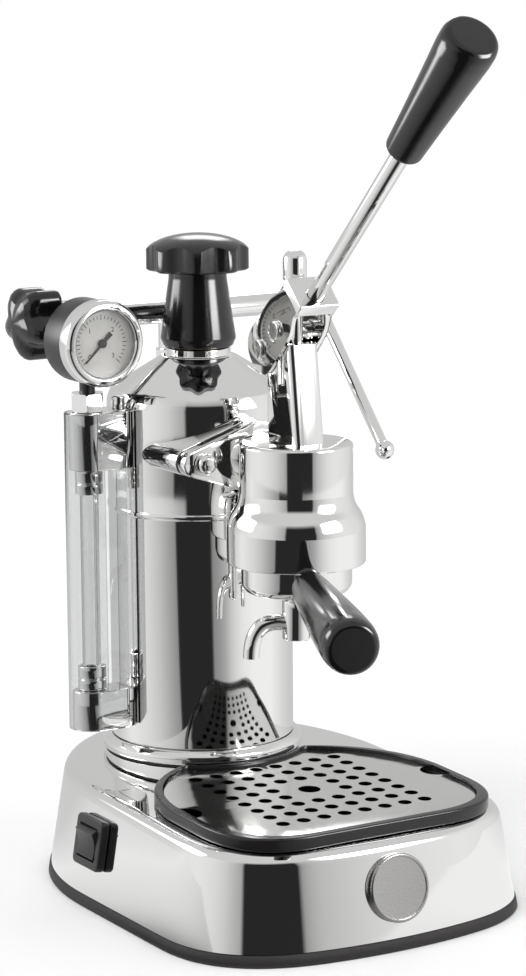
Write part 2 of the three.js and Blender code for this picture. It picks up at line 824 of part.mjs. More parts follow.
function flangeHoles(radius, back, front) {
  return [-1, 1].map((side) => (
    alongFront(bar(radius, back, front, boltSides)).translate(side * flangeBoltSpread, 0, flangeHeight)
  ));
}

const flangeBack = saddleFront + gasketThickness + 2 * fitGap;
const flangeFront = flangeBack + flangeThickness;
const boltEnd = flangeFront + fitGap - flangeBoltLength;

// The water port that runs from the boiler through the flange into the group.
function waterPort(from, to) {
  return alongFront(bar(waterPortRadius, from, to, boltSides)).translate(0, 0, flangeHeight);
}

const sightLowerTop = sightLowerBottom + sightLowerHeight;
const sightUpperBottom = sightUpperTop - sightUpperHeight;
const sightPortHeights = [sightLowerTop - sightPortDepth, sightUpperBottom + sightPortDepth];

function addBoiler() {
  const neckBottom = boilerBottom - boilerNeckLength;
  const inner = boilerRadius - boilerWall;
  const floor = boilerBottom + boilerWall;
  const outside = turned([
    [0, neckBottom],
    [boilerNeckRadius, neckBottom],
    [boilerNeckRadius, boilerBottom],
    [boilerRadius - boilerStep, boilerBottom],
    [boilerRadius - boilerStep, boilerStepHeight],
    ...boilerProfile(0),
    [0, boilerMouthTop],
  ]);
  const inside = turned([
    [0, neckBottom - overrun],
    [boilerNeckBore, neckBottom - overrun],
    [boilerNeckBore, floor],
    [inner - boilerStep, floor],
    [inner - boilerStep, boilerStepHeight + boilerWall],
    [inner, boilerStepHeight + 2 * boilerWall],
    [inner, boilerShoulder],
    [inner - 2 * boilerWall, boilerShoulder + 2 * boilerWall],
    [boilerMouthRadius, boilerDomeTop - boilerWall],
    [boilerMouthBore, boilerDomeTop],
    [boilerMouthBore, boilerMouthTop + overrun],
    [0, boilerMouthTop + overrun],
  ]);
  const ports = sightPortHeights.map((height) => (
    alongX(bar(sightPortRadius, -boilerRadius - overrun, 0, boltSides)).translate(0, 0, height)
  ));
  const boiler = cut(
    join(outside, cut(diamond(0, saddleBack, saddleFront), bar(inner, 0, boilerMouthTop, roundSides))),
    inside,
    ...ports,
    ...flangeHoles(flangeBoltRadius + fitGap, boltEnd - fitGap, saddleFront + overrun),
    waterPort(0, saddleFront + overrun),
  );
  add(machine, "boiler", boiler, "chrome");

  const ringBore = boilerRadius - boilerStep + fitGap;
  const ringTop = boilerBottom + footRingHeight;
  const ring = turned([
    [ringBore, boilerBottom],
    [footRingRadius - edgeBevel, boilerBottom],
    [footRingRadius, boilerBottom + edgeBevel],
    [footRingRadius, ringTop - footRingHeight * footRingLeanShare],
    [footRingRadius - footRingLean, ringTop],
    [ringBore, ringTop],
  ]);
  add(machine, "boiler_foot_ring", ring, "chrome");
  const gasketTop = boilerBottom - fitGap;
  const gasketBottom = gasketTop - footGasketThickness;
  const foot = turned([
    [boilerNeckRadius + fitGap, gasketBottom],
    [footGasketRadius, gasketBottom],
    [footGasketRadius, gasketTop],
    [boilerNeckRadius + fitGap, gasketTop],
  ]);
  add(machine, "boiler_gasket", foot, "rubber");
  const nutTop = collarPadBottom - fitGap;
  const nut = turned([
    [boilerNeckRadius + fitGap, nutTop - boilerNutHeight],
    [boilerNutRadius, nutTop - boilerNutHeight],
    [boilerNutRadius, nutTop],
    [boilerNeckRadius + fitGap, nutTop],
  ]);
  add(machine, "boiler_nut", nut, "brass");
  addElement(neckBottom - fitGap);
}

function addElement(headTop) {
  const plugTop = headTop + elementPlugLength;
  const plug = turned([
    [0, headTop - elementHeadHeight],
    [elementHeadRadius, headTop - elementHeadHeight],
    [elementHeadRadius, headTop],
    [boilerNeckBore - fitGap, headTop],
    [boilerNeckBore - fitGap, plugTop],
    [0, plugTop],
  ]);
  const loop = new THREE.CurvePath();
  const low = plugTop - elementTubeRadius;
  const start = new THREE.Vector3(-elementLoopHalf, 0, low);
  const turnStart = new THREE.Vector3(-elementLoopHalf, 0, elementLoopTop);
  const crownHeight = elementLoopTop + elementLoopHalf * elementCrownShare;
  const crown = new THREE.Vector3(-elementLoopHalf, 0, crownHeight);
  const crownEnd = new THREE.Vector3(elementLoopHalf, 0, crownHeight);
  const turnEnd = new THREE.Vector3(elementLoopHalf, 0, elementLoopTop);
  const end = new THREE.Vector3(elementLoopHalf, 0, low);
  loop.add(new THREE.LineCurve3(start, turnStart));
  loop.add(new THREE.CubicBezierCurve3(turnStart, crown, crownEnd, turnEnd));
  loop.add(new THREE.LineCurve3(turnEnd, end));
  add(machine, "heating_element", join(plug, tube(loop, elementTubeRadius, 30, 3)), "steel");
}

function addCap() {
  const cap = subgroup(machine, 0, 0, boilerMouthTop + 2 * fitGap);
  cap.rotation.z = radians(capTurn);
  const grooveTop = capGasketThickness;
  const studTop = capStudLength + fitGap;
  const skirt = turned([
    [0, 0],
    [capBottomRadius, 0],
    [capWideRadius, capWideHeight],
    [capNeckRadius, capDiscBottom - capWideHeight],
    [capNeckRadius, capDiscBottom + overrun],
    [0, capDiscBottom + overrun],
  ]);
  const rise = capTop - capDiscBottom;
  const discShares = [[0, 0.95], [0.05, 1], [0.54, 1], [0.66, 0.95], [0.83, 0.76], [0.95, 0.46], [1, 0.2]];
  const levels = discShares.map(([height, share]) => [capDiscBottom + rise * height, share]);
  const groove = turned([
    [boilerMouthBore - fitGap, -overrun],
    [boilerMouthRadius + fitGap, -overrun],
    [boilerMouthRadius + fitGap, grooveTop],
    [boilerMouthBore - fitGap, grooveTop],
  ]);
  const knob = cut(
    join(skirt, lobedKnob(capKnobRadius, capKnobWave, capLobes, levels)),
    bar(capStudRadius + fitGap, -overrun, studTop, smallSides),
    groove,
  );
  add(cap, "cap_knob", knob, "bakelite");
  const core = turned([
    [0, -capCoreDepth],
    [capCoreRadius - edgeBevel, -capCoreDepth],
    [capCoreRadius, edgeBevel - capCoreDepth],
    [capCoreRadius, -fitGap],
    [capStudRadius, -fitGap],
    [capStudRadius, capStudLength],
    [0, capStudLength],
  ], mediumSides);
  add(cap, "cap_core", core, "brass");
  const gasket = turned([
    [boilerMouthBore, 0],
    [boilerMouthRadius, 0],
    [boilerMouthRadius, grooveTop - fitGap],
    [boilerMouthBore, grooveTop - fitGap],
  ]);
  add(cap, "cap_gasket", gasket, "rubber");
}

function addSteamTap() {
  const tap = subgroup(machine, 0, tapBack, tapHeight);
  const domeHeight = boilerDomeTop - tapHeight - tapHexHeight;
  const stem = bar(tapTubeRadius, domeHeight - tapHexHeight, 0, smallSides);
  const hex = hexagon(tapHexRadius, domeHeight - tapHexHeight, domeHeight + tapHexHeight);
  const dome = turned([
    [0, boilerStepHeight],
    ...boilerProfile(fitGap),
    [0, boilerMouthTop + fitGap],
  ]).translate(0, -tapBack, -tapHeight);
  const spindleHole = bar(
    steamSpindleRadius + fitGap,
    -tapLeft - overrun,
    tapGlandLength - tapLeft,
    boltSides,
  );
  const body = cut(
    join(
      alongX(bar(tapTubeRadius, tapGlandLength / 2 - tapLeft, tapRight, smallSides)),
      alongX(bar(tapGlandRadius, -tapLeft, tapGlandLength - tapLeft, smallSides)),
      stem,
      hex,
    ),
    dome,
    alongX(spindleHole),
  );
  add(tap, "steam_tap_body", body, "chrome");
  const spindleStart = tapGlandLength - fitGap - tapLeft;
  const spindle = alongX(bar(steamSpindleRadius, spindleStart - steamSpindleLength, spindleStart, boltSides));
  add(tap, "steam_spindle", spindle, "brass");

  const knobGroup = subgroup(tap, -tapLeft - fitGap, 0, 0);
  knobGroup.rotation.y = -quarterTurn;
  const reach = steamKnobEnd - tapLeft - fitGap;
  const shares = [[0, 0.92], [0.08, 1], [0.62, 1], [0.74, 0.93], [0.86, 0.76], [0.96, 0.5], [1, 0.25]];
  const back = reach - steamKnobLength;
  const levels = shares.map(([height, share]) => [back + height * steamKnobLength, share]);
  const neck = turned([
    [0, 0],
    [steamKnobNeckRadius - edgeBevel, 0],
    [steamKnobNeckRadius, back / 2],
    [steamKnobNeckRadius, back + overrun],
    [0, back + overrun],
  ], roundSides);
  const holeDepth = steamSpindleLength - tapGlandLength + 2 * fitGap;
  const hole = bar(steamSpindleRadius + fitGap, -overrun, holeDepth, boltSides);
  const grip = lobedKnob(steamKnobRadius, steamKnobWave, steamKnobLobes, levels).rotateZ(Math.PI);
  const knob = cut(join(neck, grip), hole);
  add(knobGroup, "steam_knob", knob, "bakelite");
  addWand(tap);
}

function addWand(tap) {
  const nutEnd = tapRight + wandNutLip + fitGap;
  const nut = turned([
    [tapTubeRadius + fitGap, nutEnd - wandNutLength],
    [wandNutRadius, nutEnd - wandNutLength],
    [wandNutRadius, nutEnd - edgeBevel],
    [wandNutRadius - edgeBevel, nutEnd],
    [wandTrunnionRadius + fitGap, nutEnd],
    [wandTrunnionRadius + fitGap, tapRight + fitGap],
    [tapTubeRadius + fitGap, tapRight + fitGap],
  ], smallSides);
  add(tap, "wand_nut", alongX(nut), "chrome");

  const swivel = subgroup(tap, wandSide, 0, 0);
  swivel.rotation.x = -radians(wandAngle);
  const tipTop = wandTipRadius - wandLength;
  const body = join(
    new THREE.SphereGeometry(wandElbowRadius, smallSides, 10),
    alongX(bar(wandTrunnionRadius, tapRight + 2 * fitGap - wandSide, 0, smallSides)),
    bar(wandRadius, tipTop - wandTipRadius / 2, 0, smallSides),
  );
  add(swivel, "steam_wand", body, "chrome");
  const ball = new THREE.SphereGeometry(wandTipRadius, smallSides, 10).translate(0, 0, -wandLength);
  const socketFloor = tipTop - wandTipRadius / 2 - fitGap;
  const socket = bar(wandRadius + fitGap, socketFloor, overrun - wandLength + 2 * wandTipRadius);
  const jet = bar(wandRadius / 3, -wandLength - 2 * wandTipRadius, -wandLength, boltSides);
  add(swivel, "wand_tip", cut(ball, socket, jet), "chrome");
}

// A round-fronted outline that opens towards the boiler.
function sightShape(radius, leg) {
  const shape = new THREE.Shape();
  shape.moveTo(leg, radius);
  shape.lineTo(0, radius);
  shape.absarc(0, 0, radius, quarterTurn, 3 * quarterTurn);
  shape.lineTo(leg, -radius);
  return shape;
}

function addSightGlass() {
  const sight = subgroup(machine, -sightOffset, 0, 0);
  const boilerRoom = turned([[0, boilerStepHeight], ...boilerProfile(fitGap), [0, boilerMouthTop]])
    .translate(sightOffset, 0, 0);
  const bore = sightGlassRadius + fitGap;
  const lowerSeat = sightLowerTop - sightGlassSeat;
  const upperSeat = sightUpperBottom + sightGlassSeat;
  const [lowerPort, upperPort] = sightPortHeights;
  const makeBlock = (bottom, top, port) => cut(
    prism(sightShape(sightBlockRadius, sightOffset - boilerRadius + boilerWall), bottom, top),
    boilerRoom,
    alongX(bar(sightPortRadius, 0, sightOffset, boltSides)).translate(0, 0, port),
  );
  const lower = cut(
    makeBlock(sightLowerBottom, sightLowerTop, lowerPort),
    bar(bore, lowerSeat, sightLowerTop + overrun, smallSides),
    bar(sightPortRadius, lowerPort, lowerSeat + overrun, smallSides),
  );
  add(sight, "sight_block_lower", lower, "chrome");
  const upper = cut(
    makeBlock(sightUpperBottom, sightUpperTop, upperPort),
    bar(bore, sightUpperBottom - overrun, upperSeat, smallSides),
    bar(sightPortRadius, upperSeat - overrun, upperPort, smallSides),
    bar(gaugeStemRadius + fitGap, sightUpperTop - gaugeStemSeat, sightUpperTop + overrun, smallSides),
  );
  add(sight, "sight_block_upper", upper, "chrome");

  const glassBottom = lowerSeat + fitGap;
  const glassTop = upperSeat - fitGap;
  const glass = turned([
    [sightGlassRadius - sightGlassWall, glassBottom],
    [sightGlassRadius, glassBottom],
    [sightGlassRadius, glassTop],
    [sightGlassRadius - sightGlassWall, glassTop],
  ], smallSides);
  add(sight, "sight_glass_tube", glass, "clear");
  const makeNut = (bottom) => turned([
    [bore, bottom],
    [sightNutRadius - edgeBevel, bottom],
    [sightNutRadius, bottom + edgeBevel],
    [sightNutRadius, bottom + sightNutHeight - edgeBevel],
    [sightNutRadius - edgeBevel, bottom + sightNutHeight],
    [bore, bottom + sightNutHeight],
  ], smallSides);
  add(sight, "sight_nut_lower", makeNut(sightLowerTop + fitGap), "chrome");
  add(sight, "sight_nut_upper", makeNut(sightUpperBottom - fitGap - sightNutHeight), "chrome");

  const inner = sightBlockRadius + shieldGap;
  const shield = cut(
    prism(sightShape(inner + shieldWall, shieldLeg), sightLowerBottom + fitGap, sightUpperTop - fitGap),
    prism(sightShape(inner, shieldLeg + overrun), sightLowerBottom - overrun, sightUpperTop + overrun),
  );
  add(sight, "sight_shield", shield, "clear");
  const ventBottom = sightUpperTop + fitGap;
  const vent = turned([
    [0, ventBottom],
    [ventRadius, ventBottom],
    [ventRadius, ventBottom + ventHeight - edgeBevel],
    [ventRadius - edgeBevel, ventBottom + ventHeight],
    [0, ventBottom + ventHeight],
  ], boltSides);
  add(sight, "vent_plug", vent, "chrome").position.set(ventOffset, -ventForward, 0);
}

function addGauge() {
  const gauge = subgroup(machine, -sightOffset, -gaugeForward, gaugeHeight);
  gauge.rotation.x = quarterTurn;
  const lipFront = gaugeCaseFront + gaugeLipLength;
  const lipBore = gaugeLipRadius - gaugeCaseWall;
  const stemEnd = gaugeHeight - sightUpperTop + gaugeStemSeat - fitGap;
  const body = join(
    turned([
      [0, -gaugeBack],
      [gaugeCaseRadius - edgeBevel, -gaugeBack],
      [gaugeCaseRadius, edgeBevel - gaugeBack],
      [gaugeCaseRadius, gaugeCaseFront],
      [gaugeLipRadius, gaugeCaseFront],
      [gaugeLipRadius, lipFront],
      [lipBore, lipFront],
      [lipBore, 2 * gaugeCaseWall - gaugeBack],
      [0, 2 * gaugeCaseWall - gaugeBack],
    ]),
    bar(gaugeStemRadius, -stemEnd, -lipBore - gaugeCaseWall / 2, smallSides)
      .rotateX(-quarterTurn).translate(0, 0, -gaugeForward),
  );
  add(gauge, "gauge_case", body, "plastic");
  const bezelBore = gaugeLipRadius + fitGap;
  const lipBack = gaugeBezelFront - gaugeBezelLip;
  const bezel = turned([
    [bezelBore, gaugeCaseFront + fitGap],
    [gaugeBezelRadius, gaugeCaseFront + fitGap],
    [gaugeBezelRadius, lipBack],
    [gaugeBezelRadius - gaugeBezelLip / 2, gaugeBezelFront - gaugeBezelLip / 4],
    [gaugeWindowRadius + gaugeBezelLip / 2, gaugeBezelFront],
    [gaugeWindowRadius, gaugeBezelFront - gaugeBezelLip / 2],
    [gaugeWindowRadius, lipBack],
    [bezelBore, lipBack],
  ]);
  add(gauge, "gauge_bezel", bezel, "chrome");
  const dialBack = lipFront + fitGap;
  const dialFront = dialBack + gaugeDialThickness;
  add(gauge, "gauge_dial", bar(gaugeLipRadius, dialBack, dialFront, roundSides), "dial");
  const glassFront = lipBack - fitGap;
  const glass = bar(gaugeLipRadius, glassFront - gaugeGlassThickness, glassFront, roundSides);
  add(gauge, "gauge_glass", glass, "clear");

  const pointer = polygon([
    [-gaugeNeedleWidth, -gaugeNeedleTail],
    [gaugeNeedleWidth, -gaugeNeedleTail],
    [gaugeNeedleWidth / 2, 0],
    [gaugeNeedleWidth / 4, gaugeNeedleLength],
    [-gaugeNeedleWidth / 4, gaugeNeedleLength],
    [-gaugeNeedleWidth / 2, 0],
  ]);
  const needleBack = dialFront + fitGap;
  const bladeBack = needleBack + gaugeNeedleHubHeight / 3;
  const needle = join(
    prism(pointer, bladeBack, bladeBack + gaugeNeedleThickness),
    bar(gaugeNeedleHub, needleBack, needleBack + gaugeNeedleHubHeight, boltSides),
  );
  add(gauge, "gauge_needle", needle, "plastic").rotation.z = radians(gaugeNeedleRest);

  const nutBottom = sightUpperTop + fitGap;
  const nut = cut(
    hexagon(gaugeNutRadius, nutBottom, nutBottom + gaugeNutHeight),
    bar(gaugeStemRadius + fitGap, nutBottom - overrun, nutBottom + gaugeNutHeight + overrun, smallSides),
  );
  add(machine, "gauge_nut", nut, "chrome").position.x = -sightOffset;
}

// The lever's working angles: the rod pin swings level with the fulcrum at mid travel.
const pinRise = radians(leverTravel / 2);
const fulcrumBack = fulcrumReach * Math.cos(pinRise);
const fulcrumDrop = fulcrumReach * Math.sin(pinRise);
const fulcrumY = fulcrumBack - groupForward;
const fulcrumHeight = rodPinHeight - fulcrumDrop;

function addGroup() {
  const group = subgroup(machine, 0, -groupForward, 0);
  const lugRoomTop = groupBottom + groupLipHeight + groupLugRoom;
  const gasketRoomTop = lugRoomTop + groupGasketRoom;
  const rodBore = rodRadius + fitGap;
  const casting = turned([
    [groupRingBore, groupBottom],
    [groupFlareRadius - edgeBevel, groupBottom],
    [groupFlareRadius, groupBottom + groupFootBevel],
    ...groupWaistShares.map(([rise, step]) => [
      groupRadius + (groupFlareRadius - groupRadius) * step,
      groupFlareTop + (groupWaist - groupFlareTop) * rise,
    ]),
    [groupRadius, groupTop - groupTopBevel],
    [groupRadius - groupTopBevel, groupTop],
    [rodBore, groupTop],
    [rodBore, groupBoreTop],
    [groupBore, groupBoreTop],
    [groupBore, gasketRoomTop],
    [groupGasketBore, gasketRoomTop],
    [groupGasketBore, lugRoomTop],
    [groupLugBore, lugRoomTop],
    [groupLugBore, groupBottom + groupLipHeight],
    [groupRingBore, groupBottom + groupLipHeight],
  ]);
  // The post is flat-sided, and its front leans back; behind it a lug carries the fulcrum pin.
  const postSeat = groupTop - groupRoof / 2;
  const post = loft([[postFootReach, postSeat], [postFootReach, groupTop], [postTopReach, postTop]]
    .map(([reach, height]) => postRing(reach, height)));
  const lugTop = fulcrumHeight + lugRadius;
  const lugProfile = new THREE.Shape();
  lugProfile.moveTo(0, postSeat);
  lugProfile.lineTo(0, postTop);
  lugProfile.lineTo(-postTopReach / 2, lugTop);
  lugProfile.lineTo(-fulcrumBack, lugTop);
  lugProfile.absarc(-fulcrumBack, fulcrumHeight, lugRadius, quarterTurn, Math.PI);
  lugProfile.lineTo(-postBack, lugFoot);
  lugProfile.lineTo(-postBack, postSeat);
  const lug = prism(lugProfile, -postFlatHalf, postFlatHalf, 6)
    .rotateX(quarterTurn).rotateZ(-quarterTurn);
  const slotHeight = lugTop - postSlotBottom + overrun;
  const slot = block(2 * groupRadius, 2 * (rodPinRadius + fitGap), slotHeight)
    .translate(0, 0, postSlotBottom + slotHeight / 2);
  const fulcrumHole = alongX(bar(rodPinRadius + fitGap, -groupRadius, groupRadius, smallSides))
    .translate(0, fulcrumBack, fulcrumHeight);
  const flange = diamond(0, flangeBack, flangeFront).translate(0, groupForward, 0);
  const neck = cut(
    alongFront(bar(flangeNeckRadius, flangeBack - groupForward, 0, roundSides)).translate(0, 0, flangeHeight),
    bar(groupBore, groupBottom, postTop, roundSides),
  );
  const gateTurn = radians(-portaAngle - portaUnlock);
  const gates = [0, Math.PI].map((turn) => lugSector(groupLugBore, portaLugHalfAngle * portaGateShare)
    .translate(0, 0, groupBottom - overrun).rotateZ(turn + gateTurn));
  const body = cut(
    join(casting, cut(join(post, lug), bar(rodBore, groupBoreTop, lugTop + overrun)), neck, flange),
    slot,
    fulcrumHole,
    ...gates,
    ...flangeHoles(flangeBoltRadius + fitGap, saddleFront, flangeFront + overrun)
      .map((hole) => hole.translate(0, groupForward, 0)),
    waterPort(saddleFront, groupForward).translate(0, groupForward, 0),
  );
  add(group, "group_body", body, "chrome");

  const gasket = cut(
    diamond(fitGap, saddleFront + fitGap, saddleFront + fitGap + gasketThickness),
    ...flangeHoles(flangeBoltRadius + fitGap, 0, flangeFront),
    waterPort(0, flangeFront),
  );
  add(machine, "group_gasket", gasket, "rubber");
  const headBack = flangeFront + fitGap;
  const bolt = turned([
    [0, boltEnd],
    [flangeBoltRadius, boltEnd],
    [flangeBoltRadius, headBack],
    [flangeBoltHead, headBack],
    [flangeBoltHead, headBack + flangeBoltHeadHeight - flangeBoltBevel],
    [flangeBoltHead - flangeBoltBevel, headBack + flangeBoltHeadHeight],
    [0, headBack + flangeBoltHeadHeight],
  ], smallSides);
  [["left", -1], ["right", 1]].forEach(([name, side]) => {
    const mesh = add(machine, `group_bolt_${name}`, alongFront(bolt.clone()), "chrome");
    mesh.position.set(side * flangeBoltSpread, 0, flangeHeight);
  });

  const gasketTop = gasketRoomTop - fitGap;
  const brewGasket = turned([
    [brewGasketBore, gasketTop - brewGasketThickness],
    [groupGasketBore - fitGap, gasketTop - brewGasketThickness],
    [groupGasketBore - fitGap, gasketTop],
    [brewGasketBore, gasketTop],
  ]);
  add(group, "brew_gasket", brewGasket, "rubber");
  const screenTop = gasketTop - fitGap;
  const screenBottom = screenTop - screenThickness;
  const holes = Array.from({ length: screenHoles }, (_, i) => (
    bar(screenHoleRadius, screenBottom - overrun, screenTop + overrun, boltSides)
      .translate(screenHoleCircle, 0, 0).rotateZ((i / screenHoles) * 2 * Math.PI)
  ));
  const screen = cut(bar(brewGasketBore - fitGap, screenBottom, screenTop, roundSides), ...holes);
  add(group, "shower_screen", screen, "steel");
  addPiston(group);
}

// A wedge of a ring, centred on +X, for the bayonet lugs and their gates.
// Outline of the post at a height: rounded, slightly bulging front and square back.
function postRing(reach, height) {
  const corner = postCornerRadius;
  const arc = [...Array(postCornerSteps + 1).keys()].map((step) => step / postCornerSteps * quarterTurn);
  const across = postFlatHalf - corner;
  const right = arc.map((turn) => [across + corner * Math.sin(turn), corner - corner * Math.cos(turn)]);
  const half = [[across / 2, 0], ...right].map(([x, back]) => [
    x, back - reach + postCrown * (Math.min(x, across) / across) ** 2,
  ]);
  const seam = postBack / 4;
  const outline = [...half, [postFlatHalf, seam]];
  const mirrored = outline.map(([x, y]) => [-x, y]).reverse();
  return [[0, -reach], ...outline, ...mirrored].map(([x, y]) => new THREE.Vector3(x, y, height));
}

function lugSector(radius, halfAngle) {
  const half = radians(halfAngle);
  const shape = new THREE.Shape();
  shape.moveTo(radius / 2, 0);
  shape.lineTo(radius * Math.cos(half), -radius * Math.sin(half));
  shape.absarc(0, 0, radius, -half, half);
  return prism(shape, 0, groupLipHeight + 2 * overrun, 4);
}

function addPiston(group) {
  const top = groupBoreTop - fitGap;
  const bottom = top - pistonHeight;
  const radius = groupBore - pistonClearance;
  const grooveBottom = bottom + (pistonHeight - pistonSealHeight) / 2 - fitGap;
  const grooveTop = grooveBottom + pistonSealHeight + 2 * fitGap;
  const piston = turned([
    [0, bottom],
    [radius, bottom],
    [radius, grooveBottom],
    [radius - pistonSealDepth, grooveBottom],
    [radius - pistonSealDepth, grooveTop],
    [radius, grooveTop],
    [radius, top],
    [rodRadius + fitGap, top],
    [rodRadius + fitGap, top - rodSocketDepth],
    [0, top - rodSocketDepth],
  ]);
  add(group, "piston", piston, "brass");
  const sealBore = radius - pistonSealDepth + fitGap;
  const sealRadius = groupBore - pistonSealClearance;
  const seal = turned([
    [sealBore, grooveBottom + fitGap],
    [sealRadius - edgeBevel, grooveBottom + fitGap],
    [sealRadius, grooveBottom + fitGap + pistonSealHeight / 4],
    [sealRadius, grooveTop - fitGap],
    [sealBore, grooveTop - fitGap],
  ]);
  add(group, "piston_seal", seal, "rubber");
  const rod = cut(
    bar(rodRadius, top - rodSocketDepth + fitGap, rodTop, smallSides),
    alongX(bar(rodPinRadius + pressGap, -2 * rodRadius, 2 * rodRadius, smallSides))
      .translate(0, 0, rodPinHeight),
  );
  add(group, "piston_rod", rod, "chrome");
  const capSpan = rodCapTop - rodCapBottom;
  const capNut = turned([
    [rodRadius + fitGap, rodCapBottom],
    ...rodCapShares.map(([reach, rise]) => [rodCapRadius * reach, rodCapBottom + capSpan * rise]),
    [0, rodCapTop],
    [0, rodTop + fitGap],
    [rodRadius + fitGap, rodTop + fitGap],
  ], smallSides);
  add(group, "rod_cap_nut", capNut, "chrome");
  const pin = crossPin();
  add(group, "rod_pin", pin, "steel").position.set(0, 0, rodPinHeight);
  add(group, "fulcrum_pin", pin, "steel").position.set(0, fulcrumBack, fulcrumHeight);
}

// A headed cross pin that spans the fork.
function crossPin() {
  const reach = forkOuterHalf + fitGap;
  return alongX(turned([
    [0, -reach - pinHeadHeight],
    [pinHeadRadius, -reach - pinHeadHeight],
    [pinHeadRadius, -reach],
    [rodPinRadius, -reach],
    [rodPinRadius, reach],
    [pinHeadRadius, reach],
    [pinHeadRadius, reach + pinHeadHeight],
    [0, reach + pinHeadHeight],
  ], smallSides));
}

// Fork, rod and handle, drawn level and pointing to the front, with the fulcrum at the origin.
function addLever() {
  const lever = subgroup(machine, 0, fulcrumY, fulcrumHeight);
  lever.rotation.x = -radians(leverAngle);
  const pinTurn = pinRise - radians(leverAngle);
  const rodLine = fulcrumReach * Math.sin(pinTurn);
  const cheekShares = [
    [1, 0.52, cheekFront], [0.75, 0.86, cheekFront], [0, 0.93, cheekFront],
    [0.5, 0.8, -cheekBack], [0.9, 0.42, -cheekBack], [1, -0.1, -cheekBack], [0.9, -0.62, -cheekBack],
    [0.5, -1, -cheekBack], [0, -1.08, cheekFront], [0.7, -1.02, cheekFront], [1, -0.58, cheekFront],
  ];
  const cheek = polygon(cheekShares.map(([along, rise, reach]) => [-along * reach, rise * cheekHalf]));
  const slotNear = fulcrumBack - slotPlay / 2;
  const slotFar = fulcrumReach + slotPlay / 2;
  const slotRadius = rodPinRadius + slotPlay;
  const slot = new THREE.Shape();
  slot.absarc(-slotNear, 0, slotRadius, -quarterTurn, quarterTurn);
  slot.absarc(-slotFar, 0, slotRadius, quarterTurn, 3 * quarterTurn);
  const across = (shape, from, to) => prism(shape, from, to, 8).rotateX(quarterTurn).rotateZ(quarterTurn);
  const whole = join(
    across(cheek, -forkOuterHalf, forkOuterHalf),
    block(2 * forkOuterHalf, plateThickness, 2 * plateHalfHeight)
      .translate(0, -cheekFront - plateThickness / 2, -plateDrop),
  );
  const gapLength = cheekFront + cheekBack + overrun;
  const gap = block(2 * forkInnerHalf, gapLength, 4 * cheekHalf).translate(0, gapLength / 2 - cheekFront, 0);
  const plateFront = cheekFront + plateThickness;
  const seat = alongFront(bar(leverRodFootRadius + fitGap, plateFront - leverRodSeat, plateFront + overrun))
    .translate(0, 0, rodLine);
  const fork = cut(
    whole,
    gap,
    across(slot, -2 * forkOuterHalf, 2 * forkOuterHalf).rotateX(-pinTurn),
    alongX(bar(rodPinRadius + fitGap, -2 * forkOuterHalf, 2 * forkOuterHalf, smallSides)),
    seat,
  );
  add(lever, "lever_fork", fork, "chrome");

  const handleBottom = handleStart + leverRodInHandle;
  const rod = alongFront(turned([
    [0, plateFront - leverRodSeat + fitGap],
    [leverRodFootRadius, plateFront - leverRodSeat + fitGap],
    [leverRodRadius, handleStart],
    [leverRodRadius, handleBottom - fitGap],
    [0, handleBottom - fitGap],
  ], smallSides));
  add(lever, "lever_rod", rod, "chrome").position.z = rodLine;
  const length = handleEnd - handleStart;
  const swell = handleEndRadius - handleStartRadius;
  const handleShares = [
    [0, 0, 0.9], [0.02, 0.03, 1], [0.5, 0.55, 1], [0.9, 1, 1], [0.97, 1, 0.97], [1, 1, 0.86],
  ];
  const handle = cut(
    alongFront(turned([
      [0, handleStart],
      ...handleShares.map(([along, grow, share]) => (
        [(handleStartRadius + swell * grow) * share, handleStart + length * along]
      )),
      [0, handleEnd],
    ], roundSides)),
    alongFront(bar(leverRodRadius + fitGap, handleStart - overrun, handleBottom)),
  );
  add(lever, "lever_handle", handle, "bakelite").position.z = rodLine;
}

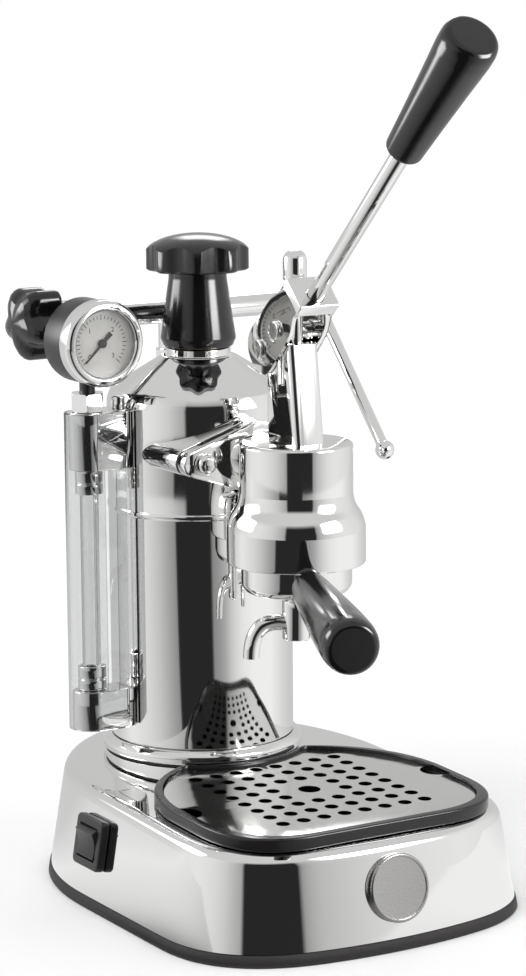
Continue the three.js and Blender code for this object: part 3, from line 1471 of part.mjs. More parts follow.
function addPortafilter() {
  const porta = subgroup(machine, 0, -groupForward, 0);
  porta.rotation.z = -radians(portaAngle);
  const bore = portaRadius - portaWall;
  const floor = portaBottom + portaWall;
  const cup = turned([
    [nozzleBore, nozzleBottom],
    [nozzleRadius, nozzleBottom],
    [nozzleRadius, portaBottom - portaWall * 2],
    [portaRadius * portaConeShare, portaBottom - portaWall],
    [portaRadius - portaWall, portaBottom],
    [portaRadius, portaBottom + portaWall * 2],
    [portaRadius, portaTop],
    [bore, portaTop],
    [bore, floor + portaWall],
    [bore - portaWall, floor],
    [nozzleBore, floor - portaWall],
  ]);
  const lugBottom = groupBottom + groupLipHeight + fitGap;
  const lugs = [0, Math.PI].map((turn) => portafilterLug(turn, lugBottom, bore));
  const arm = join(
    bar(portaArmRadius, bore + portaWall / 2, portaArmEnd, smallSides),
    bar(portaShankRadius, bore + portaWall / 2, portaHandleStart - fitGap, smallSides),
  );
  const armGeometry = geometryOf(arm).rotateX(quarterTurn + radians(portaArmDrop))
    .translate(0, 0, portaArmHeight);
  const body = join(cup, ...lugs, cut(armGeometry, bar(bore, portaBottom, portaTop, roundSides)));
  add(porta, "portafilter_body", body, "chrome");

  const grip = subgroup(porta, 0, 0, portaArmHeight);
  grip.rotation.x = radians(portaArmDrop);
  const start = portaHandleStart;
  const length = portaHandleEnd - start;
  const handleShares = [
    [0, 0.62], [0.04, 0.7], [0.3, 0.8], [0.65, 0.94], [0.9, 1], [0.96, 0.96], [0.99, 0.84], [1, 0.7],
  ];
  const handle = cut(
    alongFront(turned([
      [0, start],
      ...handleShares.map(([along, share]) => [portaHandleRadius * share, start + length * along]),
      [0, portaHandleEnd],
    ], roundSides)),
    alongFront(bar(portaArmRadius + fitGap, start - overrun, portaArmEnd + fitGap)),
  );
  add(grip, "portafilter_handle", handle, "bakelite");

  const basketRadius = bore - basketGap;
  const flangeBottom = portaTop + fitGap;
  const basketInner = basketRadius - basketWall;
  const basket = turned([
    [0, basketBottom],
    [basketRadius - basketChamfer, basketBottom],
    [basketRadius, basketBottom + basketChamfer],
    [basketRadius, flangeBottom],
    [basketFlange, flangeBottom],
    [basketFlange, flangeBottom + basketWall],
    [basketInner, flangeBottom + basketWall],
    [basketInner, basketBottom + basketChamfer + basketWall / 2],
    [basketInner - basketChamfer, basketBottom + basketWall],
    [0, basketBottom + basketWall],
  ]);
  add(porta, "filter_basket", basket, "steel");
  addSpout(porta);
}

function geometryOf(body) {
  const { vertProperties, triVerts } = solid(body).getMesh();
  const geometry = new THREE.BufferGeometry();
  geometry.setAttribute("position", new THREE.BufferAttribute(Float32Array.from(vertProperties), 3));
  geometry.setIndex(new THREE.BufferAttribute(Uint32Array.from(triVerts), 1));
  return geometry;
}

// One bayonet lug, as a piece of a ring that reaches into the cup's wall.
function portafilterLug(turn, bottom, bore) {
  const sector = overlap(
    lugSector(portaRadius + portaLugReach, portaLugHalfAngle),
    block(4 * portaRadius, 4 * portaRadius, 2 * portaLugHeight),
  );
  const placed = geometryOf(sector).translate(0, 0, bottom).rotateZ(turn);
  const room = bar(bore + portaWall / 2, bottom - overrun, bottom + 2 * portaLugHeight, roundSides);
  return cut(placed, room);
}

function addSpout(porta) {
  const seat = nozzleBottom - fitGap;
  const hub = turned([
    [0, spoutHubBottom],
    [spoutHubRadius, spoutHubBottom],
    [spoutHubRadius, spoutHubTop],
    [nozzleRadius + fitGap, spoutHubTop],
    [nozzleRadius + fitGap, seat],
    [nozzleBore, seat],
    [nozzleBore, spoutHubBottom + spoutFloor],
    [0, spoutHubBottom + spoutFloor],
  ], roundSides / 2);
  const run = (side) => new THREE.QuadraticBezierCurve3(
    new THREE.Vector3(0, 0, spoutArmHeight - spoutArmRadius),
    new THREE.Vector3(side * spoutReach, 0, spoutArmHeight + spoutArmRadius),
    new THREE.Vector3(side * spoutReach, 0, spoutTip),
  );
  const arms = [-1, 1].map((side) => tube(run(side), spoutArmRadius, 8, 3));
  const bores = [-1, 1].map((side) => tube(run(side), spoutArmBore, 8, 2));
  const core = bar(nozzleBore, spoutHubBottom + spoutFloor, seat + overrun, smallSides);
  const socket = bar(nozzleRadius + fitGap, seat, spoutHubTop + spoutHubRadius, smallSides);
  add(porta, "spout", cut(join(hub, ...arms), ...bores, core, socket), "chrome");
}

function roundedRect(width, height, radius) {
  const [x, y] = [width / 2, height / 2];
  const shape = new THREE.Shape();
  shape.absarc(x - radius, y - radius, radius, 0, quarterTurn);
  shape.absarc(radius - x, y - radius, radius, quarterTurn, 2 * quarterTurn);
  shape.absarc(radius - x, radius - y, radius, 2 * quarterTurn, 3 * quarterTurn);
  shape.absarc(x - radius, radius - y, radius, 3 * quarterTurn, 4 * quarterTurn);
  return shape;
}

function addFittings() {
  const pivot = switchProud - rockerSink;
  const pocket = block(rockerWidth + 2 * fitGap, 2 * (rockerRadius + fitGap), 2 * (rockerRadius + fitGap))
    .translate(0, 0, pivot);
  const bezel = cut(
    join(
      prism(roundedRect(switchWidth, switchTall, switchCorner), fitGap, switchProud, 4),
      block(switchBodyWidth, switchBodyTall, switchBodyDepth + switchProud / 2)
        .translate(0, 0, (switchProud / 2 - switchBodyDepth) / 2),
    ),
    pocket,
  );
  add(switchWall, "switch_bezel", bezel, "plastic");
  const rocker = new THREE.Shape();
  const high = radians(rockerEndHigh);
  const low = radians(rockerEndLow);
  rocker.absarc(0, 0, rockerRadius, -low, high);
  rocker.lineTo(0, rockerRadius * rockerDishShare);
  rocker.absarc(0, 0, rockerRadius, Math.PI - high, Math.PI + low);
  const rockerBody = prism(rocker, -rockerWidth / 2, rockerWidth / 2, 5)
    .rotateY(quarterTurn).rotateX(quarterTurn);
  const placedRocker = add(switchWall, "switch_rocker", rockerBody, "plastic");
  placedRocker.position.z = pivot;
  placedRocker.rotation.x = radians(rockerThrow);

  const badge = turned([
    [0, fitGap],
    [badgeRadius - badgeRim / 2, fitGap],
    [badgeRadius, badgeThickness / 2],
    [badgeRadius, badgeThickness],
    [badgeRadius - badgeRim / 2, badgeThickness + badgeRimHeight],
    [badgeRadius - badgeRim, badgeThickness + badgeRimHeight],
    [badgeRadius - badgeRim, badgeThickness],
    [0, badgeThickness],
  ]);
  add(frontWall, "front_badge", badge, "steel");

  const gland = turned([
    [glandBore, -glandShank],
    [glandShankRadius, -glandShank],
    [glandShankRadius, fitGap],
    [glandRadius, fitGap],
    [glandRadius, glandFlange],
    [glandNoseRadius, glandFlange],
    [glandNoseRadius - edgeBevel, glandFlange + glandNose],
    [glandBore, glandFlange + glandNose],
  ], smallSides);
  add(backWall, "cord_gland", gland, "rubber");

  const under = -baseWall - fitGap;
  const [capShare, drumShare] = pressureSwitchShares;
  const pressureSwitch = turned([
    [0, under - pressureSwitchHeight],
    [pressureSwitchCapRadius, under - pressureSwitchHeight],
    [pressureSwitchCapRadius, under - pressureSwitchHeight * capShare],
    [pressureSwitchRadius, under - pressureSwitchHeight * drumShare],
    [pressureSwitchRadius, under],
    [0, under],
  ], mediumSides);
  add(slopingTop, "pressure_switch", pressureSwitch, "steel")
    .position.set(pressureSwitchSide, trayCentre - pressureSwitchForward, 0);
}

addBase();
addUnderside();
addTray();
addBoiler();
addCap();
addSteamTap();
addSightGlass();
addGauge();
addGroup();
addLever();
addPortafilter();
addFittings();

// The origin is under the middle of the whole machine, on the table.
machine.updateMatrixWorld(true);
const limits = new THREE.Box3().setFromObject(machine, true);
const centre = limits.getCenter(new THREE.Vector3());
machine.position.set(-centre.x, -centre.y, -limits.min.z);
const espressoMachine = new THREE.Group();
espressoMachine.add(machine);

export default espressoMachine;
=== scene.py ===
import math
import bmesh
import bpy
from mathutils import Matrix, Vector


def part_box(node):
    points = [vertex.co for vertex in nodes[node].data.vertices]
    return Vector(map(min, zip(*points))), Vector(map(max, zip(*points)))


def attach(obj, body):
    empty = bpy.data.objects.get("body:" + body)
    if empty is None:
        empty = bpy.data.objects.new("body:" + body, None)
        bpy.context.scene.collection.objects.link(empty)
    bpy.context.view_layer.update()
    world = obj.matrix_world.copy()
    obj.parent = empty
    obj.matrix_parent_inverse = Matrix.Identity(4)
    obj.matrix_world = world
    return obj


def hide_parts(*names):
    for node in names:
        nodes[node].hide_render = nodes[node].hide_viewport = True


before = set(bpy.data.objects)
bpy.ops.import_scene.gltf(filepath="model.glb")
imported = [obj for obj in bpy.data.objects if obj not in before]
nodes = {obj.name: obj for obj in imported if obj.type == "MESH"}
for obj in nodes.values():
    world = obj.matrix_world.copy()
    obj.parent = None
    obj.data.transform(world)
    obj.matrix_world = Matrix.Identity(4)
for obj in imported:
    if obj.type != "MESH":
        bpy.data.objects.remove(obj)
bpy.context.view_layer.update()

# Everything is drawn in millimetres round the boiler's axis, with z = 0 on the table,
# and then moved to the row frame
ringLow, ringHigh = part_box("boiler_foot_ring")
boilerAxis = Vector(((ringLow.x + ringHigh.x) / 2, (ringLow.y + ringHigh.y) / 2, 0))
toRow = Matrix.Translation(boilerAxis) @ Matrix.Scale(0.001, 4)
rightAngle = math.pi / 2
fitGap = 0.3  # left between two pieces that touch


# materials

def linear(hexColour):
    parts = [int(hexColour[i:i + 2], 16) / 255 for i in (1, 3, 5)]
    return [c / 12.92 if c <= 0.04045 else ((c + 0.055) / 1.055) ** 2.4 for c in parts] + [1]


def addNode(tree, kind, settings=None, links=None):
    # settings holds input names with their values, or plain attributes;
    # links holds input names with output sockets
    node = tree.nodes.new(kind)
    for key, value in (settings or {}).items():
        if isinstance(key, int) or key in node.inputs:
            node.inputs[key].default_value = value
        else:
            setattr(node, key, value)
    for key, socket in (links or {}).items():
        tree.links.new(socket, node.inputs[key])
    return node


def newMaterial(name, settings):
    material = bpy.data.materials.new(name)
    material.use_nodes = True
    shader = next(n for n in material.node_tree.nodes if n.type == "BSDF_PRINCIPLED")
    for key, value in settings.items():
        shader.inputs[key].default_value = value
    return material, material.node_tree, shader


def patternPlace(tree):
    return addNode(tree, "ShaderNodeTexCoord").outputs["Object"]


def varyRoughness(tree, shader, low, high, grain):
    # cloudy change of polish over about the given number of millimetres
    noise = addNode(tree, "ShaderNodeTexNoise", {"Scale": 1000 / grain, "Detail": 3.0},
                    {"Vector": patternPlace(tree)})
    spread = addNode(tree, "ShaderNodeMapRange", {"To Min": low, "To Max": high},
                     {"Value": noise.outputs["Fac"]})
    tree.links.new(spread.outputs["Result"], shader.inputs["Roughness"])
    return noise


def addBump(tree, shader, height, depth, strength):
    bump = addNode(tree, "ShaderNodeBump", {"Strength": strength, "Distance": depth / 1000},
                   {"Height": height})
    tree.links.new(bump.outputs["Normal"], shader.inputs["Normal"])


def letLightPass(tree, shader):
    # light reaches what stands behind a clear piece, where a closed mesh of glass would put it in the dark
    rays = addNode(tree, "ShaderNodeLightPath")
    clear = addNode(tree, "ShaderNodeBsdfTransparent")
    thin = addNode(tree, "ShaderNodeMixShader", None, {
        0: rays.outputs["Is Shadow Ray"], 1: shader.outputs[0], 2: clear.outputs[0]})
    output = next(n for n in tree.nodes if n.type == "OUTPUT_MATERIAL")
    tree.links.new(thin.outputs[0], output.inputs["Surface"])


def makeMaterials():
    made = {}

    # chrome plate over polished brass: a near-perfect mirror, a trace of polishing haze
    made["chrome"], tree, shader = newMaterial("polishedChromePlate", {
        "Base Color": linear("#f1f1f0"), "Metallic": 1.0, "Roughness": 0.03})
    varyRoughness(tree, shader, 0.02, 0.06, 24)

    # satin stainless steel: the fine sheet of the tray's grid and small fittings, slightly soft reflections
    made["steel"], tree, shader = newMaterial("satinStainlessSteel", {
        "Base Color": linear("#dcdcda"), "Metallic": 1.0, "Roughness": 0.12})
    varyRoughness(tree, shader, 0.07, 0.16, 9)
    fine = addNode(tree, "ShaderNodeTexNoise", {"Scale": 1000 / 0.8, "Detail": 2.0},
                   {"Vector": patternPlace(tree)})
    addBump(tree, shader, fine.outputs["Fac"], 0.004, 0.3)

    # brushed nickel face of the badge: fine lines run across, about 0.3 mm apart
    made["badge"], tree, shader = newMaterial("brushedNickelPlate", {
        "Base Color": linear("#b9b8b6"), "Metallic": 1.0, "Roughness": 0.26})
    place = addNode(tree, "ShaderNodeMapping", {"Scale": (20, 1500, 3300)}, {"Vector": patternPlace(tree)})
    lines = addNode(tree, "ShaderNodeTexNoise", {"Scale": 1.0, "Detail": 3.0},
                    {"Vector": place.outputs["Vector"]})
    spread = addNode(tree, "ShaderNodeMapRange", {"To Min": 0.2, "To Max": 0.36},
                     {"Value": lines.outputs["Fac"]})
    tree.links.new(spread.outputs["Result"], shader.inputs["Roughness"])
    addBump(tree, shader, lines.outputs["Fac"], 0.01, 0.35)

    # turned brass, dull from heat
    made["brass"], tree, shader = newMaterial("turnedBrass", {
        "Base Color": linear("#b4924c"), "Metallic": 1.0, "Roughness": 0.35})
    varyRoughness(tree, shader, 0.28, 0.45, 6)

    # phenolic resin, pressed and buffed: black with a deep gloss and a faint cloudiness
    made["bakelite"], tree, shader = newMaterial("buffedBlackBakelite", {
        "Base Color": linear("#110f10"), "Roughness": 0.14, "IOR": 1.6})
    varyRoughness(tree, shader, 0.1, 0.2, 15)
    pores = addNode(tree, "ShaderNodeTexNoise", {"Scale": 1000 / 1.5, "Detail": 2.0},
                    {"Vector": patternPlace(tree)})
    addBump(tree, shader, pores.outputs["Fac"], 0.012, 0.25)

    # black ABS, injection moulded in a spark-eroded mould: fine even grain of about 0.5 mm
    made["plastic"], tree, shader = newMaterial("grainedBlackABS", {
        "Base Color": linear("#1f1d1e"), "Roughness": 0.38, "IOR": 1.54})
    grain = addNode(tree, "ShaderNodeTexVoronoi", {"Scale": 1000 / 0.5}, {"Vector": patternPlace(tree)})
    addBump(tree, shader, grain.outputs["Distance"], 0.02, 0.3)

    # the tray's moulded rim is smoother and shinier than the switch
    made["trayPlastic"], tree, shader = newMaterial("glossyBlackABS", {
        "Base Color": linear("#1b191a"), "Roughness": 0.2, "IOR": 1.54})
    varyRoughness(tree, shader, 0.16, 0.27, 12)

    # moulded rubber: matt, greyed where it is handled
    made["rubber"], tree, shader = newMaterial("mouldedBlackRubber", {
        "Base Color": linear("#262424"), "Roughness": 0.7, "IOR": 1.52})
    speckle = addNode(tree, "ShaderNodeTexNoise", {"Scale": 1000 / 1.2, "Detail": 4.0},
                      {"Vector": patternPlace(tree)})
    tone = addNode(tree, "ShaderNodeMix", {"data_type": "RGBA", 6: linear("#201e1e"), 7: linear("#343131")},
                   {0: speckle.outputs["Fac"]})
    tree.links.new(tone.outputs[2], shader.inputs["Base Color"])
    addBump(tree, shader, speckle.outputs["Fac"], 0.04, 0.5)

    # clear acrylic, extruded: water-clear with faint draw lines along its length
    made["acrylic"], tree, shader = newMaterial("clearAcrylic", {
        "Base Color": linear("#ebecec"), "Roughness": 0.02, "IOR": 1.49, "Transmission Weight": 1.0})
    place = addNode(tree, "ShaderNodeMapping", {"Scale": (600, 600, 6)}, {"Vector": patternPlace(tree)})
    draw = addNode(tree, "ShaderNodeTexNoise", {"Scale": 1.0, "Detail": 1.0},
                   {"Vector": place.outputs["Vector"]})
    addBump(tree, shader, draw.outputs["Fac"], 0.02, 0.2)
    letLightPass(tree, shader)

    # borosilicate glass: clear, with a bright rim where it turns away
    made["glass"], tree, shader = newMaterial("borosilicateGlass", {
        "Base Color": linear("#fbfbfb"), "Roughness": 0.0, "IOR": 1.47, "Transmission Weight": 1.0})
    varyRoughness(tree, shader, 0.0, 0.02, 20)
    letLightPass(tree, shader)

    # white stove enamel of the dial, very slightly uneven
    made["enamel"], tree, shader = newMaterial("whiteStoveEnamel", {
        "Base Color": linear("#e9e7e3"), "Roughness": 0.35})
    cloud = addNode(tree, "ShaderNodeTexNoise", {"Scale": 1000 / 7, "Detail": 3.0},
                    {"Vector": patternPlace(tree)})
    tone = addNode(tree, "ShaderNodeMix", {"data_type": "RGBA", 6: linear("#dddbd6"), 7: linear("#f0efec")},
                   {0: cloud.outputs["Fac"]})
    tree.links.new(tone.outputs[2], shader.inputs["Base Color"])

    # screen-printed black ink of the scale and the painted needle
    made["ink"], tree, shader = newMaterial("printedBlackInk",
                                            {"Base Color": linear("#262425"), "Roughness": 0.5})
    varyRoughness(tree, shader, 0.42, 0.6, 3)

    # dark powder coat of the bottom plate: orange-peel texture of about 1 mm
    made["cover"], tree, shader = newMaterial("darkPowderCoat", {
        "Base Color": linear("#2f2e2e"), "Roughness": 0.5, "IOR": 1.5})
    peel = addNode(tree, "ShaderNodeTexNoise", {"Scale": 1000, "Detail": 1.0}, {"Vector": patternPlace(tree)})
    addBump(tree, shader, peel.outputs["Fac"], 0.05, 0.5)
    return made


materials = makeMaterials()
print("materials made:", len(materials))


# shape helpers: each gives a bmesh in millimetres

def softened(points, radius, steps):
    # rounds the corners of an open or closed outline of (x, y)
    result = []
    count = len(points)
    for i, point in enumerate(points):
        here = Vector(point)
        if i == 0 or i == count - 1:
            result.append(here)
            continue
        before, after = Vector(points[i - 1]) - here, Vector(points[i + 1]) - here
        reach = min(radius, before.length * 0.48, after.length * 0.48)
        if reach < 0.02 or before.length < 1e-6 or after.length < 1e-6:
            result.append(here)
            continue
        start, end = here + before.normalized() * reach, here + after.normalized() * reach
        for k in range(steps + 1):
            t = k / steps
            result.append((1 - t) ** 2 * start + 2 * t * (1 - t) * here + t * t * end)
    return result


def turned(points, radius, steps, smooth=4):
    # turns an outline of (radius, height) about Z; one that starts off the axis is a closed ring
    ring = points[0][0] > 1e-6
    if ring:
        first = (Vector(points[0]) + Vector(points[1])) / 2
        outline = softened([first, *points[1:], points[0], first], radius, smooth)[:-1]
    else:
        outline = softened(points, radius, smooth)
    shape = bmesh.new()
    rows = []
    for p in outline:
        if p.x < 1e-6:
            rows.append([shape.verts.new((0, 0, p.y))])
        else:
            rows.append([shape.verts.new((p.x * math.cos(a), p.x * math.sin(a), p.y))
                         for a in (2 * math.pi * k / steps for k in range(steps))])
    pairs = list(zip(rows, rows[1:])) + ([(rows[-1], rows[0])] if ring else [])
    for low, high in pairs:
        for k in range(steps):
            n = (k + 1) % steps
            corners = [low[k % len(low)], low[n % len(low)], high[n % len(high)], high[k % len(high)]]
            unique = list(dict.fromkeys(corners))
            if len(unique) > 2:
                shape.faces.new(unique)
    return shape


def rod(radius, low, high, edge, steps):
    # a round bar or a bore along Z
    return turned([(0, low), (radius, low), (radius, high), (0, high)], edge, steps)


def skinned(rings):
    # a closed skin over rings of points that match one to one
    shape = bmesh.new()
    rows = [[shape.verts.new(p) for p in ring] for ring in rings]
    count = len(rows[0])
    for low, high in zip(rows, rows[1:]):
        for k in range(count):
            n = (k + 1) % count
            shape.faces.new([low[k], low[n], high[n], high[k]])
    shape.faces.new(list(reversed(rows[0])))
    shape.faces.new(rows[-1])
    return shape


def insetOutline(outline, inset):
    # the same outline, drawn inwards
    if not inset:
        return [Vector(p) for p in outline]
    count = len(outline)
    result = []
    for i, p in enumerate(outline):
        along = Vector(outline[(i + 1) % count]) - Vector(outline[i - 1])
        normal = Vector((along.y, -along.x)).normalized()
        result.append(Vector(p) - normal * inset)
    return result


def slab(outline, low, high, edge, steps=3):
    # a plate of an anticlockwise outline, with its rims rounded over by the given edge
    rings = []
    for k in range(steps + 1):
        turn = rightAngle * k / steps
        rings.append((edge * (1 - math.sin(turn)), low + edge * (1 - math.cos(turn))))
    rings += [(inset, high + low - height) for inset, height in reversed(rings)]
    return skinned([[Vector((p.x, p.y, height)) for p in insetOutline(outline, inset)]
                    for inset, height in rings])


def arcPoints(x, y, radius, start, end, steps):
    return [(x + radius * math.cos(a), y + radius * math.sin(a))
            for a in (start + (end - start) * k / steps for k in range(steps + 1))]


def swept(path, radius, steps):
    # a round bar along a list of points, its ends square to the path
    points = [Vector(p) for p in path]
    side = None
    rings = []
    for i, p in enumerate(points):
        along = (points[min(i + 1, len(points) - 1)] - points[max(i - 1, 0)]).normalized()
        side = (side - along * side.dot(along)).normalized() if side else along.orthogonal().normalized()
        other = along.cross(side)
        r = radius(i / (len(points) - 1)) if callable(radius) else radius
        rings.append([p + r * (math.cos(a) * side + math.sin(a) * other)
                      for a in (2 * math.pi * k / steps for k in range(steps))])
    return skinned(rings)


def ball(radius, steps):
    rows = steps // 2
    return turned([(radius * math.sin(math.pi * k / rows) if 0 < k < rows else 0,
                    -radius * math.cos(math.pi * k / rows))
                   for k in range(rows + 1)], 0, steps)


def moved(shape, x=0, y=0, z=0, matrix=None):
    shape.transform(matrix or Matrix.Translation((x, y, z)))
    return shape


def turnedTo(shape, axis, degrees):
    shape.transform(Matrix.Rotation(math.radians(degrees), 4, axis))
    return shape


def alongX(shape):
    return turnedTo(shape, "Y", 90)


def alongFront(shape):
    return turnedTo(shape, "X", 90)


def blockOf(width, depth, height, edge):
    x, y = width / 2, depth / 2
    outline = []
    for cx, cy, start in ((x, y, 0), (-x, y, 1), (-x, -y, 2), (x, -y, 3)):
        sx, sy = math.copysign(edge, cx), math.copysign(edge, cy)
        outline += arcPoints(cx - sx, cy - sy, edge, rightAngle * start, rightAngle * (start + 1), 3)
    return slab(outline, -height / 2, height / 2, edge)


def asObject(shape, name="working"):
    bmesh.ops.remove_doubles(shape, verts=shape.verts, dist=1e-4)
    bmesh.ops.recalc_face_normals(shape, faces=shape.faces)
    mesh = bpy.data.meshes.new(name)
    shape.to_mesh(mesh)
    shape.free()
    piece = bpy.data.objects.new(name, mesh)
    bpy.context.scene.collection.objects.link(piece)
    return piece


def combined(first, tools, operation="DIFFERENCE"):
    # cuts the tools out of the first shape, or joins or intersects them
    target = asObject(first)
    others = [asObject(t) for t in tools]
    for other in others:
        step = target.modifiers.new("step", "BOOLEAN")
        step.operation = operation
        step.solver = "EXACT"
        step.object = other
    bpy.context.view_layer.update()
    mesh = bpy.data.meshes.new_from_object(target.evaluated_get(bpy.context.evaluated_depsgraph_get()))
    shape = bmesh.new()
    shape.from_mesh(mesh)
    for used in [target, *others]:
        data = used.data
        bpy.data.objects.remove(used)
        bpy.data.meshes.remove(data)
    bpy.data.meshes.remove(mesh)
    return shape


def joined(first, *others):
    # several overlapping shapes as one
    return combined(first, others, "UNION")


def addPiece(name, shape, body, material, stands, sharp=30, place=None):
    # stands names the CAD nodes that the piece stands for; place turns it in the machine's own frame
    bmesh.ops.remove_doubles(shape, verts=shape.verts, dist=1e-4)
    bmesh.ops.dissolve_degenerate(shape, edges=shape.edges, dist=1e-4)
    shape.transform(toRow @ (place or Matrix()))
    bmesh.ops.recalc_face_normals(shape, faces=shape.faces)
    mesh = bpy.data.meshes.new(name)
    shape.to_mesh(mesh)
    shape.free()
    return dressPiece(name, mesh, body, material, stands, sharp)


def dressPiece(name, mesh, body, material, stands=(), sharp=30):
    mesh.materials.clear()
    mesh.materials.append(materials[material])
    mesh.polygons.foreach_set("use_smooth", [True] * len(mesh.polygons))
    mesh.set_sharp_from_angle(angle=math.radians(sharp))
    piece = bpy.data.objects.new(name, mesh)
    bpy.context.scene.collection.objects.link(piece)
    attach(piece, body)
    if stands:
        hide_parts(*stands)
    return piece


def geometryTree(name, inputs):
    # an empty Geometry Nodes tree with named inputs; gives the tree, its input node,
    # its output node and the identifiers
    tree = bpy.data.node_groups.new(name, "GeometryNodeTree")
    tree.interface.new_socket("Geometry", in_out="INPUT", socket_type="NodeSocketGeometry")
    known = {}
    for label, kind in inputs.items():
        known[label] = tree.interface.new_socket(label, in_out="INPUT",
                                                 socket_type="NodeSocket" + kind).identifier
    tree.interface.new_socket("Geometry", in_out="OUTPUT", socket_type="NodeSocketGeometry")
    return tree, tree.nodes.new("NodeGroupInput"), tree.nodes.new("NodeGroupOutput"), known


def grownMesh(shape, tree, known, values, name):
    # runs a tree on a shape in millimetres and gives the plain mesh, still in millimetres
    carrier = asObject(shape, name)
    modifier = carrier.modifiers.new("grow", "NODES")
    modifier.node_group = tree
    for label, value in values.items():
        modifier[known[label]] = value
    bpy.context.view_layer.update()
    mesh = bpy.data.meshes.new_from_object(carrier.evaluated_get(bpy.context.evaluated_depsgraph_get()))
    mesh.name = name
    old = carrier.data
    bpy.data.objects.remove(carrier)
    bpy.data.meshes.remove(old)
    return mesh


# base casing, rim and tray

base = {
    "front": 191.4, "back": 77, "frontHalf": 99.6, "roundHalf": 97.8, "roundStart": 42, "bow": 19,
    "frontCorner": 45, "frontHeight": 52.7, "backHeight": 63, "draft": 9.6, "edgeRadius": 6, "wall": 1.5,
    "bottom": 6.5, "collarRadius": 52, "collarTop": 62.5, "neckRadius": 33.3, "neckLow": 40, "neckHigh": 70,
    "evenSteps": 320, "smoothing": 14,
}
topSlope = (base["backHeight"] - base["frontHeight"]) / (base["front"] + base["back"])


def topHeight(y):
    return base["frontHeight"] + (y + base["front"]) * topSlope


def quadratic(a, b, c, steps):
    a, b, c = Vector(a), Vector(b), Vector(c)
    return [(1 - t) ** 2 * a + 2 * t * (1 - t) * b + t * t * c for t in (k / steps for k in range(steps))]


def evenly(points, count):
    # the same closed outline with evenly spaced points
    lengths = [0]
    closed = [*points, points[0]]
    for p, q in zip(closed, closed[1:]):
        lengths.append(lengths[-1] + (Vector(q) - Vector(p)).length)
    result, k = [], 0
    for i in range(count):
        target = lengths[-1] * i / count
        while lengths[k + 1] < target:
            k += 1
        share = (target - lengths[k]) / max(lengths[k + 1] - lengths[k], 1e-9)
        result.append(Vector(closed[k]).lerp(Vector(closed[k + 1]), share))
    return result


def baseOutline():
    b = base
    corner = Vector((b["frontHalf"], b["bow"] - b["front"]))
    start = Vector((b["roundHalf"], -b["roundStart"]))
    run = (start - corner).normalized()
    frontEnd = b["frontHalf"] - b["frontCorner"]
    frontEndY = b["bow"] * (frontEnd / b["frontHalf"]) ** 2 - b["front"]
    half = quadratic((0, -b["front"]), (frontEnd / 2, -b["front"]), (frontEnd, frontEndY), 24)
    half += quadratic((frontEnd, frontEndY), corner, corner + run * b["frontCorner"], 40)
    half += [corner + run * b["frontCorner"]]
    reach = b["back"] + b["roundStart"]
    half += [Vector((b["roundHalf"] * math.cos(a), reach * math.sin(a) - b["roundStart"]))
             for a in (rightAngle * k / 60 for k in range(61))]
    whole = half + [Vector((-p.x, p.y)) for p in reversed(half[1:-1])]
    outline = evenly(whole, b["evenSteps"])
    for _ in range(b["smoothing"]):
        outline = [(outline[i - 1] + 2 * p + outline[(i + 1) % len(outline)]) / 4
                   for i, p in enumerate(outline)]
    return outline


outlineOfBase = baseOutline()


def baseRing(inset, heightAt):
    # the base's outline at a height, moved in by the inset and by the lean of its wall
    ring = []
    for i, p in enumerate(outlineOfBase):
        along = outlineOfBase[(i + 1) % len(outlineOfBase)] - outlineOfBase[i - 1]
        normal = Vector((along.y, -along.x)).normalized()
        lean = base["draft"] * heightAt(p.y) / topHeight(p.y)
        spot = p - normal * (inset + lean)
        ring.append(Vector((spot.x, spot.y, heightAt(spot.y))))
    return ring


def baseBlock(inset, bottom, drop, edgeRadius, steps):
    rings = [baseRing(inset, lambda y: bottom)]
    for share in (0.35, 0.7):
        rings.append(baseRing(inset, lambda y: bottom + (topHeight(y) - drop - edgeRadius - bottom) * share))
    for k in range(steps + 1):
        turn = rightAngle * k / steps
        below = drop + edgeRadius * (1 - math.sin(turn))
        rings.append(baseRing(inset + edgeRadius * (1 - math.cos(turn)), lambda y: topHeight(y) - below))
    return skinned(rings)


tray = {
    "centre": 106, "half": 80.5, "front": 69, "cornerRun": 42, "cornerDepth": 45, "sideEnd": 2,
    "backHalf": 77, "back": 46, "hornHalf": 36, "rimHeight": 7.3, "rimWidth": 4.3, "ledge": 4.4,
    "depth": 24, "wall": 1.8, "collarGap": 54.3, "collarShare": 0.45, "pocketInset": 4.6, "tubInset": 5.2,
    "gridThickness": 1.2, "pitch": 12, "rows": 8, "hole": 3.5, "centreHole": 5.7, "thumbRadius": 8.5,
    "thumbDepth": 9, "thumbForward": 4, "evenSteps": 260, "smoothing": 3,
}
slopingTop = Matrix.Translation((0, -tray["centre"], topHeight(-tray["centre"]))) @ \
    Matrix.Rotation(math.atan(topSlope), 4, "X")


